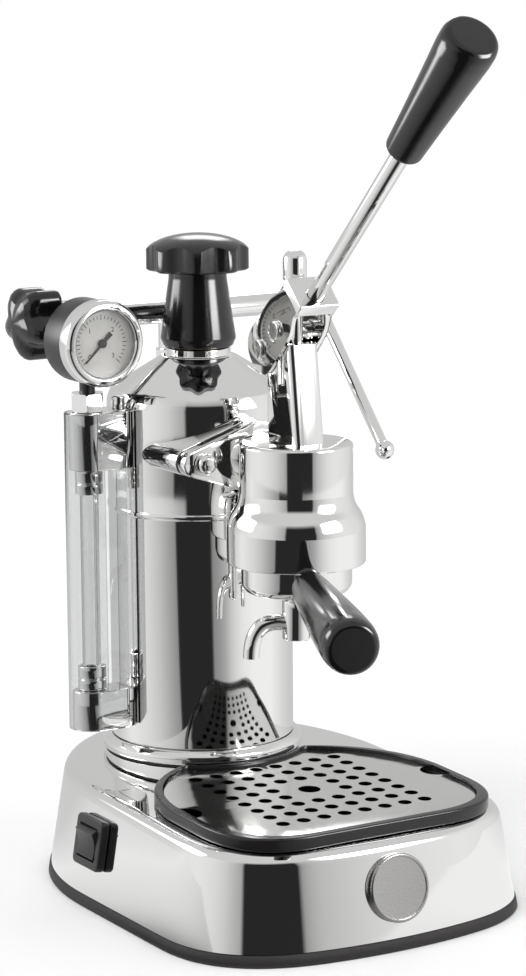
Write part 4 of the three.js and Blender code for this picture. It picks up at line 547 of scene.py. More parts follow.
def trayOutline(inset):
    t = tray
    half = t["half"] - inset
    front = inset - t["front"]
    curve = t["collarGap"] + inset * t["collarShare"]
    hornY = t["centre"] - math.sqrt(curve ** 2 - t["hornHalf"] ** 2)
    hornTurn = math.atan2(hornY - t["centre"], t["hornHalf"])
    points = [Vector((t["cornerRun"] - half, front))]
    points += quadratic((half - t["cornerRun"], front), (half, front), (half, front + t["cornerDepth"]), 24)
    points += quadratic((half, t["sideEnd"]), (t["backHalf"] - inset, t["back"] - inset),
                        (t["hornHalf"], hornY), 24)
    points += [Vector(p) for p in arcPoints(0, t["centre"], curve, hornTurn, -math.pi - hornTurn, 40)]
    points += quadratic((-t["hornHalf"], hornY), (inset - t["backHalf"], t["back"] - inset),
                        (-half, t["sideEnd"]), 24)
    points += quadratic((-half, front + t["cornerDepth"]), (-half, front), (t["cornerRun"] - half, front), 24)
    outline = evenly(points, t["evenSteps"])
    for _ in range(t["smoothing"]):
        outline = [(outline[i - 1] + 2 * p + outline[(i + 1) % len(outline)]) / 4
                   for i, p in enumerate(outline)]
    return outline


def wallPlace(x, y, outward, height):
    # a frame on a leaning wall: z points out of it and y up along it
    inset = base["draft"] * height / topHeight(y)
    out = Vector((outward.x, outward.y, base["draft"] / topHeight(y))).normalized()
    across = Vector((-outward.y, outward.x, 0))
    up = out.cross(across)
    turn = Matrix((across, up, out)).transposed().to_4x4()
    return Matrix.Translation((x - outward.x * inset, y - outward.y * inset, height)) @ turn


sideRun = (Vector((base["roundHalf"], -base["roundStart"])) -
           Vector((base["frontHalf"], base["bow"] - base["front"]))).normalized()
switch = {
    "forward": 48, "height": 34.5, "width": 27, "tall": 26, "proud": 5, "corner": 3, "bodyWidth": 22,
    "bodyTall": 21, "bodyDepth": 11, "rockerWidth": 18, "rockerRadius": 8.4, "sink": 3.2, "high": 38,
    "low": 20, "dish": 0.45, "throw": 9, "frameLap": 2.5,
}
switchX = -(base["frontHalf"] + (-switch["forward"] - base["bow"] + base["front"]) * sideRun.x / sideRun.y)
switchWall = wallPlace(switchX, -switch["forward"], Vector((-sideRun.y, -sideRun.x)), switch["height"])
badge = {"height": 30.6, "radius": 17, "thickness": 2.5, "rim": 1.8, "rimHeight": 0.7, "lift": 0.3}
frontWall = wallPlace(0, -base["front"], Vector((0, -1)), badge["height"])
gland = {"height": 24, "radius": 9.5, "flange": 3, "nose": 6, "noseRadius": 6, "shank": 8,
         "shankRadius": 6.9, "bore": 3.6, "lift": 0.3}
backWall = wallPlace(0, base["back"], Vector((0, 1)), gland["height"])


def addBase():
    b = base
    outside = joined(
        baseBlock(0, b["bottom"], 0, b["edgeRadius"], 10),
        rod(b["collarRadius"], topHeight(0) - b["wall"], b["collarTop"], 0.3, 128),
    )
    inside = baseBlock(b["wall"], b["bottom"] - 1, b["wall"], b["edgeRadius"] - b["wall"], 3)
    pocket = moved(skinned([[Vector((p.x, p.y, z)) for p in trayOutline(tray["pocketInset"])]
                            for z in (-tray["depth"], tray["depth"])]), matrix=slopingTop)
    neck = rod(b["neckRadius"], b["neckLow"], b["neckHigh"], 0, 96)
    switchHole = moved(blockOf(switch["bodyWidth"] + 2 * fitGap, switch["bodyTall"] + 2 * fitGap,
                               switch["bodyDepth"], 0.2), matrix=switchWall)
    glandHole = moved(rod(gland["shankRadius"] + fitGap, -gland["shank"], gland["shank"], 0, 48),
                      matrix=backWall)
    shell = combined(outside, [inside, pocket, neck, switchHole, glandHole])
    addPiece("baseCasing", shell, "machine", "chrome", ["base_shell"], sharp=24)


rim = {"height": 6.2, "width": 5, "proud": 0.6, "ledgeWidth": 8, "ledgeBottom": 4.4, "edge": 0.9}


def addRim():
    def ringAt(inset, z):
        return baseRing(inset, lambda y: z)
    r = rim
    profile = [(r["width"], 0), (-r["proud"] + r["edge"], 0), (-r["proud"], r["edge"]),
               (-r["proud"], r["height"] - r["edge"]), (-r["proud"] + r["edge"], r["height"]),
               (r["width"] + r["ledgeWidth"], r["height"]), (r["width"] + r["ledgeWidth"], r["ledgeBottom"]),
               (r["width"], r["ledgeBottom"])]
    shape = bmesh.new()
    rows = [[shape.verts.new(p) for p in ringAt(inset, z)] for inset, z in profile]
    count = len(rows[0])
    for low, high in zip(rows, [*rows[1:], rows[0]]):
        for k in range(count):
            n = (k + 1) % count
            shape.faces.new([low[k], low[n], high[n], high[k]])
    addPiece("baseRim", shape, "machine", "rubber", ["base_rim"], sharp=50)


def addTray():
    t = tray
    outer = slab(trayOutline(0), 0.3, t["rimHeight"], 1.3, 5)
    tub = slab(trayOutline(t["tubInset"]), -t["depth"], t["ledge"], 0.6)
    seatHeights = (t["ledge"], t["rimHeight"] + 1)
    seat = skinned([[Vector((p.x, p.y, z)) for p in trayOutline(t["rimWidth"])] for z in seatHeights])
    hollow = slab(trayOutline(t["tubInset"] + t["wall"]), t["wall"] - t["depth"], t["ledge"] + 6, 1.2)
    whole = combined(joined(outer, tub), [seat, hollow])
    addPiece("dripTray", whole, "tray", "trayPlastic", ["drip_tray"], place=slopingTop)


def perforationTree():
    # cuts a square field of round holes, but for the ones next to the middle, out of the incoming plate
    tree, inputs, output, known = geometryTree("perforatedPlate", {
        "Pitch": "Float", "Rows": "Int", "Hole radius": "Float", "Bare radius": "Float",
        "Material": "Material"})
    take = inputs.outputs
    less = addNode(tree, "ShaderNodeMath", {"operation": "SUBTRACT", 1: 1.0}, {0: take["Rows"]})
    span = addNode(tree, "ShaderNodeMath", {"operation": "MULTIPLY"}, {0: less.outputs[0], 1: take["Pitch"]})
    field = addNode(tree, "GeometryNodeMeshGrid", None, {
        "Size X": span.outputs[0], "Size Y": span.outputs[0], "Vertices X": take["Rows"],
        "Vertices Y": take["Rows"]})
    spot = addNode(tree, "GeometryNodeInputPosition")
    far = addNode(tree, "ShaderNodeVectorMath", {"operation": "LENGTH"}, {0: spot.outputs[0]})
    keep = addNode(tree, "FunctionNodeCompare", {"data_type": "FLOAT", "operation": "GREATER_THAN"},
                   {0: far.outputs["Value"], 1: take["Bare radius"]})
    punch = addNode(tree, "GeometryNodeMeshCylinder", {"Vertices": 28, "Depth": 30.0},
                    {"Radius": take["Hole radius"]})
    placed = addNode(tree, "GeometryNodeInstanceOnPoints", None, {
        "Points": field.outputs["Mesh"], "Selection": keep.outputs[0], "Instance": punch.outputs["Mesh"]})
    real = addNode(tree, "GeometryNodeRealizeInstances", None, {0: placed.outputs[0]})
    bored = addNode(tree, "GeometryNodeMeshBoolean", {"operation": "DIFFERENCE"}, {
        "Mesh 1": take["Geometry"], "Mesh 2": real.outputs[0]})
    last = addNode(tree, "GeometryNodeRealizeInstances", None, {0: bored.outputs["Mesh"]})
    painted = addNode(tree, "GeometryNodeSetMaterial", None,
                      {"Geometry": last.outputs[0], "Material": take["Material"]})
    tree.links.new(painted.outputs[0], output.inputs["Geometry"])
    return tree, known


def addGrid():
    t = tray
    low = t["ledge"] + fitGap
    high = low + t["gridThickness"]
    plate = slab(trayOutline(t["rimWidth"] + fitGap), low, high, 0.35)
    notchX = t["half"] - t["rimWidth"] - fitGap + t["thumbRadius"] - t["thumbDepth"]
    cutters = [moved(rod(t["thumbRadius"], low - 2, high + 2, 0, 64), side * notchX, -t["thumbForward"])
               for side in (-1, 1)]
    cutters.append(rod(t["centreHole"], low - 2, high + 2, 0, 48))
    plate = combined(plate, cutters)
    tree, known = perforationTree()
    mesh = grownMesh(plate, tree, known, {
        "Pitch": float(t["pitch"]), "Rows": t["rows"], "Hole radius": t["hole"],
        "Bare radius": t["pitch"] * 0.99, "Material": materials["steel"]}, "dripGrid")
    mesh.transform(toRow @ slopingTop)
    dressPiece("dripGrid", mesh, "grid", "steel", ["drip_grid"], sharp=40)


addBase()
addRim()
addTray()
addGrid()
print("base, rim, tray and grid made")


# boiler, foot ring and gasket

boiler = {
    "radius": 48.5, "wall": 2.2, "bottom": 64.3, "step": 1.3, "stepHeight": 71.6, "shoulder": 249.5,
    "domeTop": 272.6, "domeHalf": 19.7, "mouth": 16.9, "mouthBore": 13.6, "mouthTop": 276.7, "neck": 33,
    "neckBore": 29, "neckBottom": 44, "bead": 194, "beadHalf": 1.6, "beadProud": 0.5, "portRadius": 3,
    "ports": (88, 232),
}
flange = {
    "height": 226, "halfLength": 45, "halfHeight": 19, "endRadius": 7, "midRadius": 16, "thickness": 7.5,
    "neckRadius": 13, "saddleFront": 52.6, "saddleBack": 18, "saddleLow": 180, "saddleHigh": 270,
    "padHole": (40, 54), "plateHole": (50, 70), "back": 54, "boltSpread": 33, "boltHole": 3.3,
    "boltHead": 5.2, "boltHeadHeight": 5.2, "boltRadius": 3, "boltLength": 21, "port": 3.5,
}
footRing = {"radius": 53.1, "bore": 47.5, "low": 64.3, "high": 71.3, "lean": 2.6, "leanHeight": 2.8}
footGasket = {"radius": 51.5, "bore": 33.3, "low": 62.8, "high": 64}


def boilerSkin(gap=0.0):
    # outline of the boiler's outer wall, let out by a gap for what sits on it
    b = boiler
    r = b["radius"] + gap
    return [
        (r, b["stepHeight"]), (r, b["bead"] - b["beadHalf"]),
        (r + b["beadProud"], b["bead"] - b["beadHalf"] / 2),
        (r + b["beadProud"], b["bead"] + b["beadHalf"] / 2), (r, b["bead"] + b["beadHalf"]),
        (r, b["shoulder"] + gap), (r - b["beadProud"], b["shoulder"] + b["wall"] + gap),
        (r - b["wall"], b["shoulder"] + 3 * b["wall"] + gap), (b["domeHalf"] + gap, b["domeTop"] + gap),
        (b["mouth"] + gap, b["domeTop"] + gap), (b["mouth"] + gap, b["mouthTop"] + gap),
    ]


def diamond(inset, back, front, edge):
    # the group's flange: two small round ends and a wider round middle
    f = flange
    end, middle = f["endRadius"] - inset, f["midRadius"] - inset
    span, rise = f["halfLength"] - f["endRadius"], f["halfHeight"] - f["midRadius"]
    lean = math.acos((middle - end) / span)
    outline = arcPoints(span, 0, end, -lean, lean, 16) + arcPoints(0, rise, middle, lean, math.pi - lean, 12)
    outline += arcPoints(-span, 0, end, math.pi - lean, math.pi + lean, 16)
    outline += arcPoints(0, -rise, middle, math.pi + lean, 2 * math.pi - lean, 12)
    plate = slab([Vector(p) for p in outline], back, front, edge)
    return moved(alongFront(plate), 0, 0, f["height"])


def boltHoles(radius, back, front):
    spread, height = flange["boltSpread"], flange["height"]
    return [moved(alongFront(rod(radius, back, front, 0, 32)), side * spread, 0, height) for side in (-1, 1)]


def addBoiler():
    b = boiler
    outside = turned([(0, b["neckBottom"]), (b["neck"], b["neckBottom"]), (b["neck"], b["bottom"]),
                      (b["radius"] - b["step"], b["bottom"]), (b["radius"] - b["step"], b["stepHeight"]),
                      *boilerSkin(), (0, b["mouthTop"])], 0.9, 160)
    inner = b["radius"] - b["wall"]
    inside = turned([(0, b["neckBottom"] - 1), (b["neckBore"], b["neckBottom"] - 1),
                     (b["neckBore"], b["bottom"] + b["wall"]), (inner - b["step"], b["bottom"] + b["wall"]),
                     (inner, b["stepHeight"] + 2 * b["wall"]), (inner, b["shoulder"]),
                     (inner - 2 * b["wall"], b["shoulder"] + 2 * b["wall"]),
                     (b["mouth"], b["domeTop"] - b["wall"]), (b["mouthBore"], b["domeTop"]),
                     (b["mouthBore"], b["mouthTop"] + 1), (0, b["mouthTop"] + 1)], 0, 64)
    saddle = combined(diamond(0, flange["saddleBack"], flange["saddleFront"], 0.6),
                      [rod(inner, flange["saddleLow"], flange["saddleHigh"], 0, 96)])
    ports = [moved(alongX(rod(b["portRadius"], -b["radius"] - 2, 0, 0, 24)), 0, 0, z) for z in b["ports"]]
    vessel = combined(joined(outside, saddle), [
        inside, *ports, *boltHoles(flange["boltHole"], *flange["padHole"]),
        moved(alongFront(rod(flange["port"], 0, flange["back"], 0, 24)), 0, 0, flange["height"])])
    addPiece("boilerVessel", vessel, "machine", "chrome", ["boiler"], sharp=22)
    r = footRing
    ring = turned([(r["bore"], r["low"]), (r["radius"], r["low"]), (r["radius"], r["high"] - r["leanHeight"]),
                   (r["radius"] - r["lean"], r["high"]), (r["bore"], r["high"])], 1.2, 128, 6)
    addPiece("boilerFootRing", ring, "machine", "chrome", ["boiler_foot_ring"])
    g = footGasket
    gasket = turned([(g["bore"], g["low"]), (g["radius"], g["low"]), (g["radius"], g["high"]),
                     (g["bore"], g["high"])], 0.3, 96)
    addPiece("boilerFootGasket", gasket, "machine", "rubber", ["boiler_gasket"])


addBoiler()
print("boiler made")


# filler cap and steam tap

cap = {
    "bottom": 277.3, "turn": 13.4, "bottomRadius": 18, "wideRadius": 19.8, "wideHeight": 4.2,
    "neckRadius": 15.2, "discBottom": 39.6, "top": 59, "knobRadius": 26.8, "wave": 1.4, "lobes": 8,
    "studRadius": 8.3, "studDepth": 24.3, "seatInner": 13.3, "seatOuter": 17.2, "seatDepth": 1.7,
}


def lobedGrip(radius, wave, lobes, levels, steps=160):
    rings = []
    for height, share in levels:
        ring = []
        for k in range(steps):
            a = 2 * math.pi * k / steps
            reach = (radius - wave + wave * math.cos(lobes * a)) * share
            ring.append(Vector((reach * math.cos(a), reach * math.sin(a), height)))
        rings.append(ring)
    return skinned(rings)


def domedLevels(low, high, knots, edge=1.6):
    # heights and shares of a grip, its corners softened
    points = [(low + (high - low) * h, s * 100) for h, s in knots]
    return [(p.x, p.y / 100) for p in softened(points, edge, 5)]


def addCap():
    c = cap
    # the lobed edge of the grip runs up into one smooth dome, so that its upper rim is scalloped
    edge = c["discBottom"] + 0.55 * (c["top"] - c["discBottom"])
    lobed = lobedGrip(c["knobRadius"], c["wave"], c["lobes"], domedLevels(c["discBottom"], c["top"] + 1, [
        (0, 0.95), (0.04, 1), (1, 1)], 0.4))
    dome = turned([(0, c["discBottom"] - 1), (c["knobRadius"] + 1, c["discBottom"] - 1),
                   (c["knobRadius"] + 1, edge - 0.8),
                   *((c["knobRadius"] * math.cos(a), edge + (c["top"] - edge) * math.sin(a) ** 1.25)
                     for a in (rightAngle * k / 24 for k in range(3, 24))), (0, c["top"])], 0, 160)
    grip = combined(lobed, [dome], "INTERSECT")
    skirt = turned([(0, 0), (c["bottomRadius"], 0), (c["wideRadius"], c["wideHeight"]),
                    (c["neckRadius"], c["discBottom"] - 4), (c["neckRadius"], c["discBottom"] + 1.5),
                    (0, c["discBottom"] + 1.5)], 0.8, 96)
    groove = turned([(c["seatInner"], -1), (c["seatOuter"], -1), (c["seatOuter"], c["seatDepth"]),
                     (c["seatInner"], c["seatDepth"])], 0, 64)
    whole = combined(joined(skirt, grip), [rod(c["studRadius"], -1, c["studDepth"], 0, 48), groove])
    place = Matrix.Translation((0, 0, c["bottom"])) @ Matrix.Rotation(math.radians(c["turn"]), 4, "Z")
    addPiece("fillerCapKnob", whole, "filler_cap", "bakelite", ["cap_knob"], sharp=40, place=place)


tap = {
    "back": 30, "height": 292.3, "tube": 6, "left": 60, "right": 84, "gland": 8.2, "glandLength": 10,
    "hex": 8.5, "hexHeight": 7, "knobRadius": 19.8, "wave": 2.6, "lobes": 5, "knobLength": 22.7,
    "knobEnd": 93.5, "neck": 9.8, "spindle": 3.3, "spindleDepth": 25.6, "sunk": 7,
}
tapPlace = Matrix.Translation((0, tap["back"], tap["height"]))


def hexagonal(radius, low, high):
    # a hexagon with its corners turned off to a cone, as nuts are
    prism = turned([(0, low), (radius, low), (radius, high), (0, high)], 0.15, 6, 1)
    trim = turned([(0, low - 1), (radius * 0.86, low - 1), (radius * 1.02, low + 1.4),
                   (radius * 1.02, high - 1.4), (radius * 0.86, high + 1), (0, high + 1)], 0, 48)
    return combined(prism, [trim], "INTERSECT")


def addSteamTap():
    t = tap
    foot = boiler["domeTop"] - t["height"] - t["hexHeight"]
    dome = turned([(0, boiler["stepHeight"]), *boilerSkin(fitGap), (0, boiler["mouthTop"] + fitGap)], 0, 96)
    dome = moved(dome, 0, -t["back"], -t["height"])
    body = combined(
        joined(alongX(rod(t["tube"], t["glandLength"] / 2 - t["left"], t["right"], 0.5, 64)),
               alongX(rod(t["gland"], -t["left"], t["glandLength"] - t["left"], 0.7, 64)),
               rod(t["tube"], foot - t["sunk"], 0, 0, 64),
               hexagonal(t["hex"], foot - t["sunk"], foot + t["hexHeight"])),
        [dome, alongX(rod(t["spindle"], -t["left"] - 1, t["glandLength"] - t["left"], 0, 32))])
    addPiece("steamTapBody", body, "machine", "chrome", ["steam_tap_body"], sharp=28, place=tapPlace)

    reach = t["knobEnd"] - t["left"] - fitGap
    back = reach - t["knobLength"]
    levels = domedLevels(back, reach, [
        (0, 0.9), (0.04, 0.97), (0.1, 1), (0.6, 1), (0.7, 0.95), (0.8, 0.85), (0.9, 0.66), (0.96, 0.44),
        (1, 0.1)])
    grip = turnedTo(lobedGrip(t["knobRadius"], t["wave"], t["lobes"], levels, 200), "Z", 180)
    neck = rod(t["neck"], 0, back + 1.5, 0.8, 64)
    knob = combined(joined(neck, grip), [rod(t["spindle"], -1, t["spindleDepth"], 0, 32)])
    place = tapPlace @ Matrix.Translation((-t["left"] - fitGap, 0, 0)) @ Matrix.Rotation(-rightAngle, 4, "Y")
    addPiece("steamTapKnob", knob, "steam_valve", "bakelite", ["steam_knob"], sharp=40, place=place)


wand = {
    "side": 92.5, "angle": 42.2, "length": 99.8, "radius": 3.1, "elbow": 6.3, "trunnion": 4.1, "tip": 5.1,
    "nut": 8.6, "nutLow": 77.7, "nutHigh": 87.2, "nutBore": 6.3, "nutLip": 84.3, "jet": 1,
}


def addWand():
    w = wand
    nut = turned([(w["nutBore"], w["nutLow"]), (w["nut"], w["nutLow"]), (w["nut"], w["nutHigh"]),
                  (w["trunnion"] + fitGap, w["nutHigh"]), (w["trunnion"] + fitGap, w["nutLip"]),
                  (w["nutBore"], w["nutLip"])], 0.7, 64)
    addPiece("wandNut", alongX(nut), "machine", "chrome", ["wand_nut"], place=tapPlace)
    lean = Matrix.Rotation(-math.radians(w["angle"]), 4, "X")
    place = tapPlace @ Matrix.Translation((w["side"], 0, 0)) @ lean
    tipTop = w["tip"] - w["length"]
    trunnion = alongX(rod(w["trunnion"], w["nutLip"] + fitGap - w["side"], 0, 0.3, 48))
    pipe = joined(ball(w["elbow"], 64), trunnion, rod(w["radius"], tipTop - w["tip"] / 2, 0, 0.2, 48))
    addPiece("steamWandPipe", pipe, "wand", "chrome", ["steam_wand"], sharp=40, place=place)
    tip = combined(moved(ball(w["tip"], 64), 0, 0, -w["length"]), [
        rod(w["radius"] + fitGap, tipTop - w["tip"] / 2 - fitGap, 2 * w["tip"] - w["length"], 0, 48),
        rod(w["jet"], -w["length"] - 10, -w["length"], 0, 24)])
    addPiece("steamWandTip", tip, "wand", "chrome", ["wand_tip"], sharp=40, place=place)


addCap()
addSteamTap()
addWand()
print("filler cap, steam tap and wand made")


# sight glass and gauge

sight = {
    "offset": 66.5, "block": 10.3, "lowerLow": 81, "lowerHigh": 102, "upperLow": 218, "upperHigh": 248,
    "glass": 4.8, "glassWall": 1.6, "seat": 8, "stemHole": 5, "nut": 7.2, "nutHeight": 12.5, "port": 3,
    "shieldGap": 0.5, "shieldWall": 1.5, "leg": 15.5, "vent": 3.6, "ventHeight": 7.7, "ventOffset": 14.5,
    "ventForward": 6.5,
}
sightPlace = Matrix.Translation((-sight["offset"], 0, 0))


def roundFronted(radius, leg):
    # a U with its round end to the left and its legs towards the boiler
    front = arcPoints(0, 0, radius, rightAngle, 3 * rightAngle, 40)
    return [Vector(p) for p in [(leg, radius), *front, (leg, -radius)]]


def addSightGlass():
    s = sight
    reach = s["offset"] - boiler["radius"] + boiler["wall"]

    def block(low, high):
        room = turned([(0, boiler["stepHeight"]), *boilerSkin(fitGap), (0, boiler["mouthTop"])], 0, 128)
        body = slab(roundFronted(s["block"], reach), low, high, 0.7, 4)
        return combined(body, [moved(room, s["offset"])])

    bore = s["glass"] + fitGap
    lowSeat, highSeat = s["lowerHigh"] - s["seat"], s["upperLow"] + s["seat"]
    lower = combined(block(s["lowerLow"], s["lowerHigh"]), [
        rod(bore, lowSeat, s["lowerHigh"] + 1, 0, 48),
        rod(s["port"], boiler["ports"][0], lowSeat + 1, 0, 24),
        moved(alongX(rod(s["port"], 0, s["offset"], 0, 24)), 0, 0, boiler["ports"][0])])
    upper = combined(block(s["upperLow"], s["upperHigh"]), [
        rod(bore, s["upperLow"] - 1, highSeat, 0, 48),
        rod(s["port"], highSeat - 1, boiler["ports"][1], 0, 24),
        moved(alongX(rod(s["port"], 0, s["offset"], 0, 24)), 0, 0, boiler["ports"][1]),
        rod(gauge["stem"] + fitGap, s["upperHigh"] - s["stemHole"], s["upperHigh"] + 1, 0, 48)])
    addPiece("sightBlockLower", lower, "machine", "chrome", ["sight_block_lower"], place=sightPlace)
    addPiece("sightBlockUpper", upper, "machine", "chrome", ["sight_block_upper"], place=sightPlace)
    inside = s["glass"] - s["glassWall"]
    tube = turned([(inside, lowSeat + fitGap), (s["glass"], lowSeat + fitGap),
                   (s["glass"], highSeat - fitGap), (inside, highSeat - fitGap)], 0.3, 64)
    addPiece("sightGlassTube", tube, "machine", "glass", ["sight_glass_tube"], place=sightPlace)

    def nut(low):
        high = low + s["nutHeight"]
        r = s["nut"]
        groove = low + s["nutHeight"] * 0.42
        return turned([(bore, low), (r, low), (r, groove), (r - 0.7, groove), (r - 0.7, groove + 1),
                       (r, groove + 1), (r, high), (bore, high)], 0.5, 64)
    addPiece("sightNutLower", nut(s["lowerHigh"] + fitGap), "machine", "chrome", ["sight_nut_lower"],
             place=sightPlace)
    addPiece("sightNutUpper", nut(s["upperLow"] - fitGap - s["nutHeight"]), "machine", "chrome",
             ["sight_nut_upper"], place=sightPlace)

    inner = s["block"] + s["shieldGap"]
    low, high = s["lowerLow"] + fitGap, s["upperHigh"] - fitGap
    outside = slab(roundFronted(inner + s["shieldWall"], s["leg"]), low, high, 0.4)
    inside = slab(roundFronted(inner, s["leg"] + 1), low - 1, high + 1, 0)
    shield = combined(outside, [inside])
    addPiece("sightShield", shield, "machine", "acrylic", ["sight_shield"], place=sightPlace)
    vent = turned([(0, s["upperHigh"] + fitGap), (s["vent"], s["upperHigh"] + fitGap),
                   (s["vent"], s["upperHigh"] + fitGap + s["ventHeight"]),
                   (0, s["upperHigh"] + fitGap + s["ventHeight"])], 1, 48)
    addPiece("ventPlug", vent, "machine", "chrome", ["vent_plug"],
             place=sightPlace @ Matrix.Translation((s["ventOffset"], -s["ventForward"], 0)))


gauge = {
    "height": 284.9, "forward": 3, "back": 9, "case": 21.8, "caseFront": 8.9, "lip": 20.6, "lipLength": 2.5,
    "wall": 1.4, "bezel": 22.3, "front": 18.9, "window": 17, "bezelLip": 2.4, "dial": 0.8, "glass": 1.1,
    "hub": 2.2, "needle": 13.5, "tail": 7, "needleWidth": 1.3, "needleThickness": 0.6, "hubHeight": 2,
    "rest": 135, "stem": 4, "stemTop": 19.9, "stemSink": 4.7, "nut": 9.2, "nutHeight": 9.6,
    "tickRadius": 13.2, "tickLength": 1.5, "tickWidth": 0.34, "ticks": 31, "sweep": 270,
    "numberRadius": 9.3, "numberSize": 3.6,
}
gaugePlace = Matrix.Translation((-sight["offset"], -gauge["forward"], gauge["height"])) @ \
    Matrix.Rotation(rightAngle, 4, "X")
dialFront = gauge["caseFront"] + gauge["lipLength"] + fitGap + gauge["dial"]


def tickTree():
    # an arc of short bars, every fifth one longer
    tree, inputs, output, known = geometryTree("dialTicks", {
        "Count": "Int", "Sweep": "Float", "Radius": "Float", "Length": "Float", "Width": "Float",
        "Height": "Float", "Material": "Material"})
    take = inputs.outputs
    points = addNode(tree, "GeometryNodePoints", None, {"Count": take["Count"]})
    index = addNode(tree, "GeometryNodeInputIndex")
    last = addNode(tree, "ShaderNodeMath", {"operation": "SUBTRACT", 1: 1.0}, {0: take["Count"]})
    step = addNode(tree, "ShaderNodeMath", {"operation": "DIVIDE"}, {0: take["Sweep"], 1: last.outputs[0]})
    along = addNode(tree, "ShaderNodeMath", {"operation": "MULTIPLY"},
                    {0: index.outputs[0], 1: step.outputs[0]})
    half = addNode(tree, "ShaderNodeMath", {"operation": "MULTIPLY", 1: 0.5}, {0: take["Sweep"]})
    degrees = addNode(tree, "ShaderNodeMath", {"operation": "SUBTRACT"},
                      {0: along.outputs[0], 1: half.outputs[0]})
    turn = addNode(tree, "ShaderNodeMath", {"operation": "RADIANS"}, {0: degrees.outputs[0]})
    sine = addNode(tree, "ShaderNodeMath", {"operation": "SINE"}, {0: turn.outputs[0]})
    cosine = addNode(tree, "ShaderNodeMath", {"operation": "COSINE"}, {0: turn.outputs[0]})
    x = addNode(tree, "ShaderNodeMath", {"operation": "MULTIPLY"}, {0: sine.outputs[0], 1: take["Radius"]})
    y = addNode(tree, "ShaderNodeMath", {"operation": "MULTIPLY"}, {0: cosine.outputs[0], 1: take["Radius"]})
    spot = addNode(tree, "ShaderNodeCombineXYZ", None,
                   {"X": x.outputs[0], "Y": y.outputs[0], "Z": take["Height"]})
    spread = addNode(tree, "GeometryNodeSetPosition", None,
                     {"Geometry": points.outputs[0], "Position": spot.outputs[0]})
    size = addNode(tree, "ShaderNodeCombineXYZ", {"Z": 0.08}, {"X": take["Width"], "Y": take["Length"]})
    mark = addNode(tree, "GeometryNodeMeshCube", None, {"Size": size.outputs[0]})
    back = addNode(tree, "ShaderNodeMath", {"operation": "MULTIPLY", 1: -1.0}, {0: turn.outputs[0]})
    facing = addNode(tree, "ShaderNodeCombineXYZ", None, {"Z": back.outputs[0]})
    fifth = addNode(tree, "ShaderNodeMath", {"operation": "MODULO", 1: 5.0}, {0: index.outputs[0]})
    long = addNode(tree, "FunctionNodeCompare", {"data_type": "FLOAT", "operation": "LESS_THAN", 1: 0.5},
                   {0: fifth.outputs[0]})
    grow = addNode(tree, "ShaderNodeMapRange", {"To Min": 1.0, "To Max": 1.8}, {"Value": long.outputs[0]})
    scale = addNode(tree, "ShaderNodeCombineXYZ", {"X": 1.0, "Z": 1.0}, {"Y": grow.outputs[0]})
    placed = addNode(tree, "GeometryNodeInstanceOnPoints", None, {
        "Points": spread.outputs[0], "Instance": mark.outputs[0], "Rotation": facing.outputs[0],
        "Scale": scale.outputs[0]})
    real = addNode(tree, "GeometryNodeRealizeInstances", None, {0: placed.outputs[0]})
    painted = addNode(tree, "GeometryNodeSetMaterial", None,
                      {"Geometry": real.outputs[0], "Material": take["Material"]})
    tree.links.new(painted.outputs[0], output.inputs["Geometry"])
    return tree, known


def addNumber(text, x, y):
    g = gauge
    curve = bpy.data.curves.new("dialNumber", "FONT")
    curve.body = text
    curve.size = g["numberSize"]
    curve.align_x = "CENTER"
    curve.align_y = "CENTER"
    curve.extrude = 0.04
    word = bpy.data.objects.new("dialNumber", curve)
    bpy.context.scene.collection.objects.link(word)
    bpy.context.view_layer.update()
    mesh = bpy.data.meshes.new_from_object(word.evaluated_get(bpy.context.evaluated_depsgraph_get()))
    bpy.data.objects.remove(word)
    bpy.data.curves.remove(curve)
    mesh.transform(toRow @ gaugePlace @ Matrix.Translation((x, y, dialFront + 0.05)))
    mesh.name = "dialNumber" + text
    dressPiece("dialNumber" + text, mesh, "machine", "ink", sharp=30)


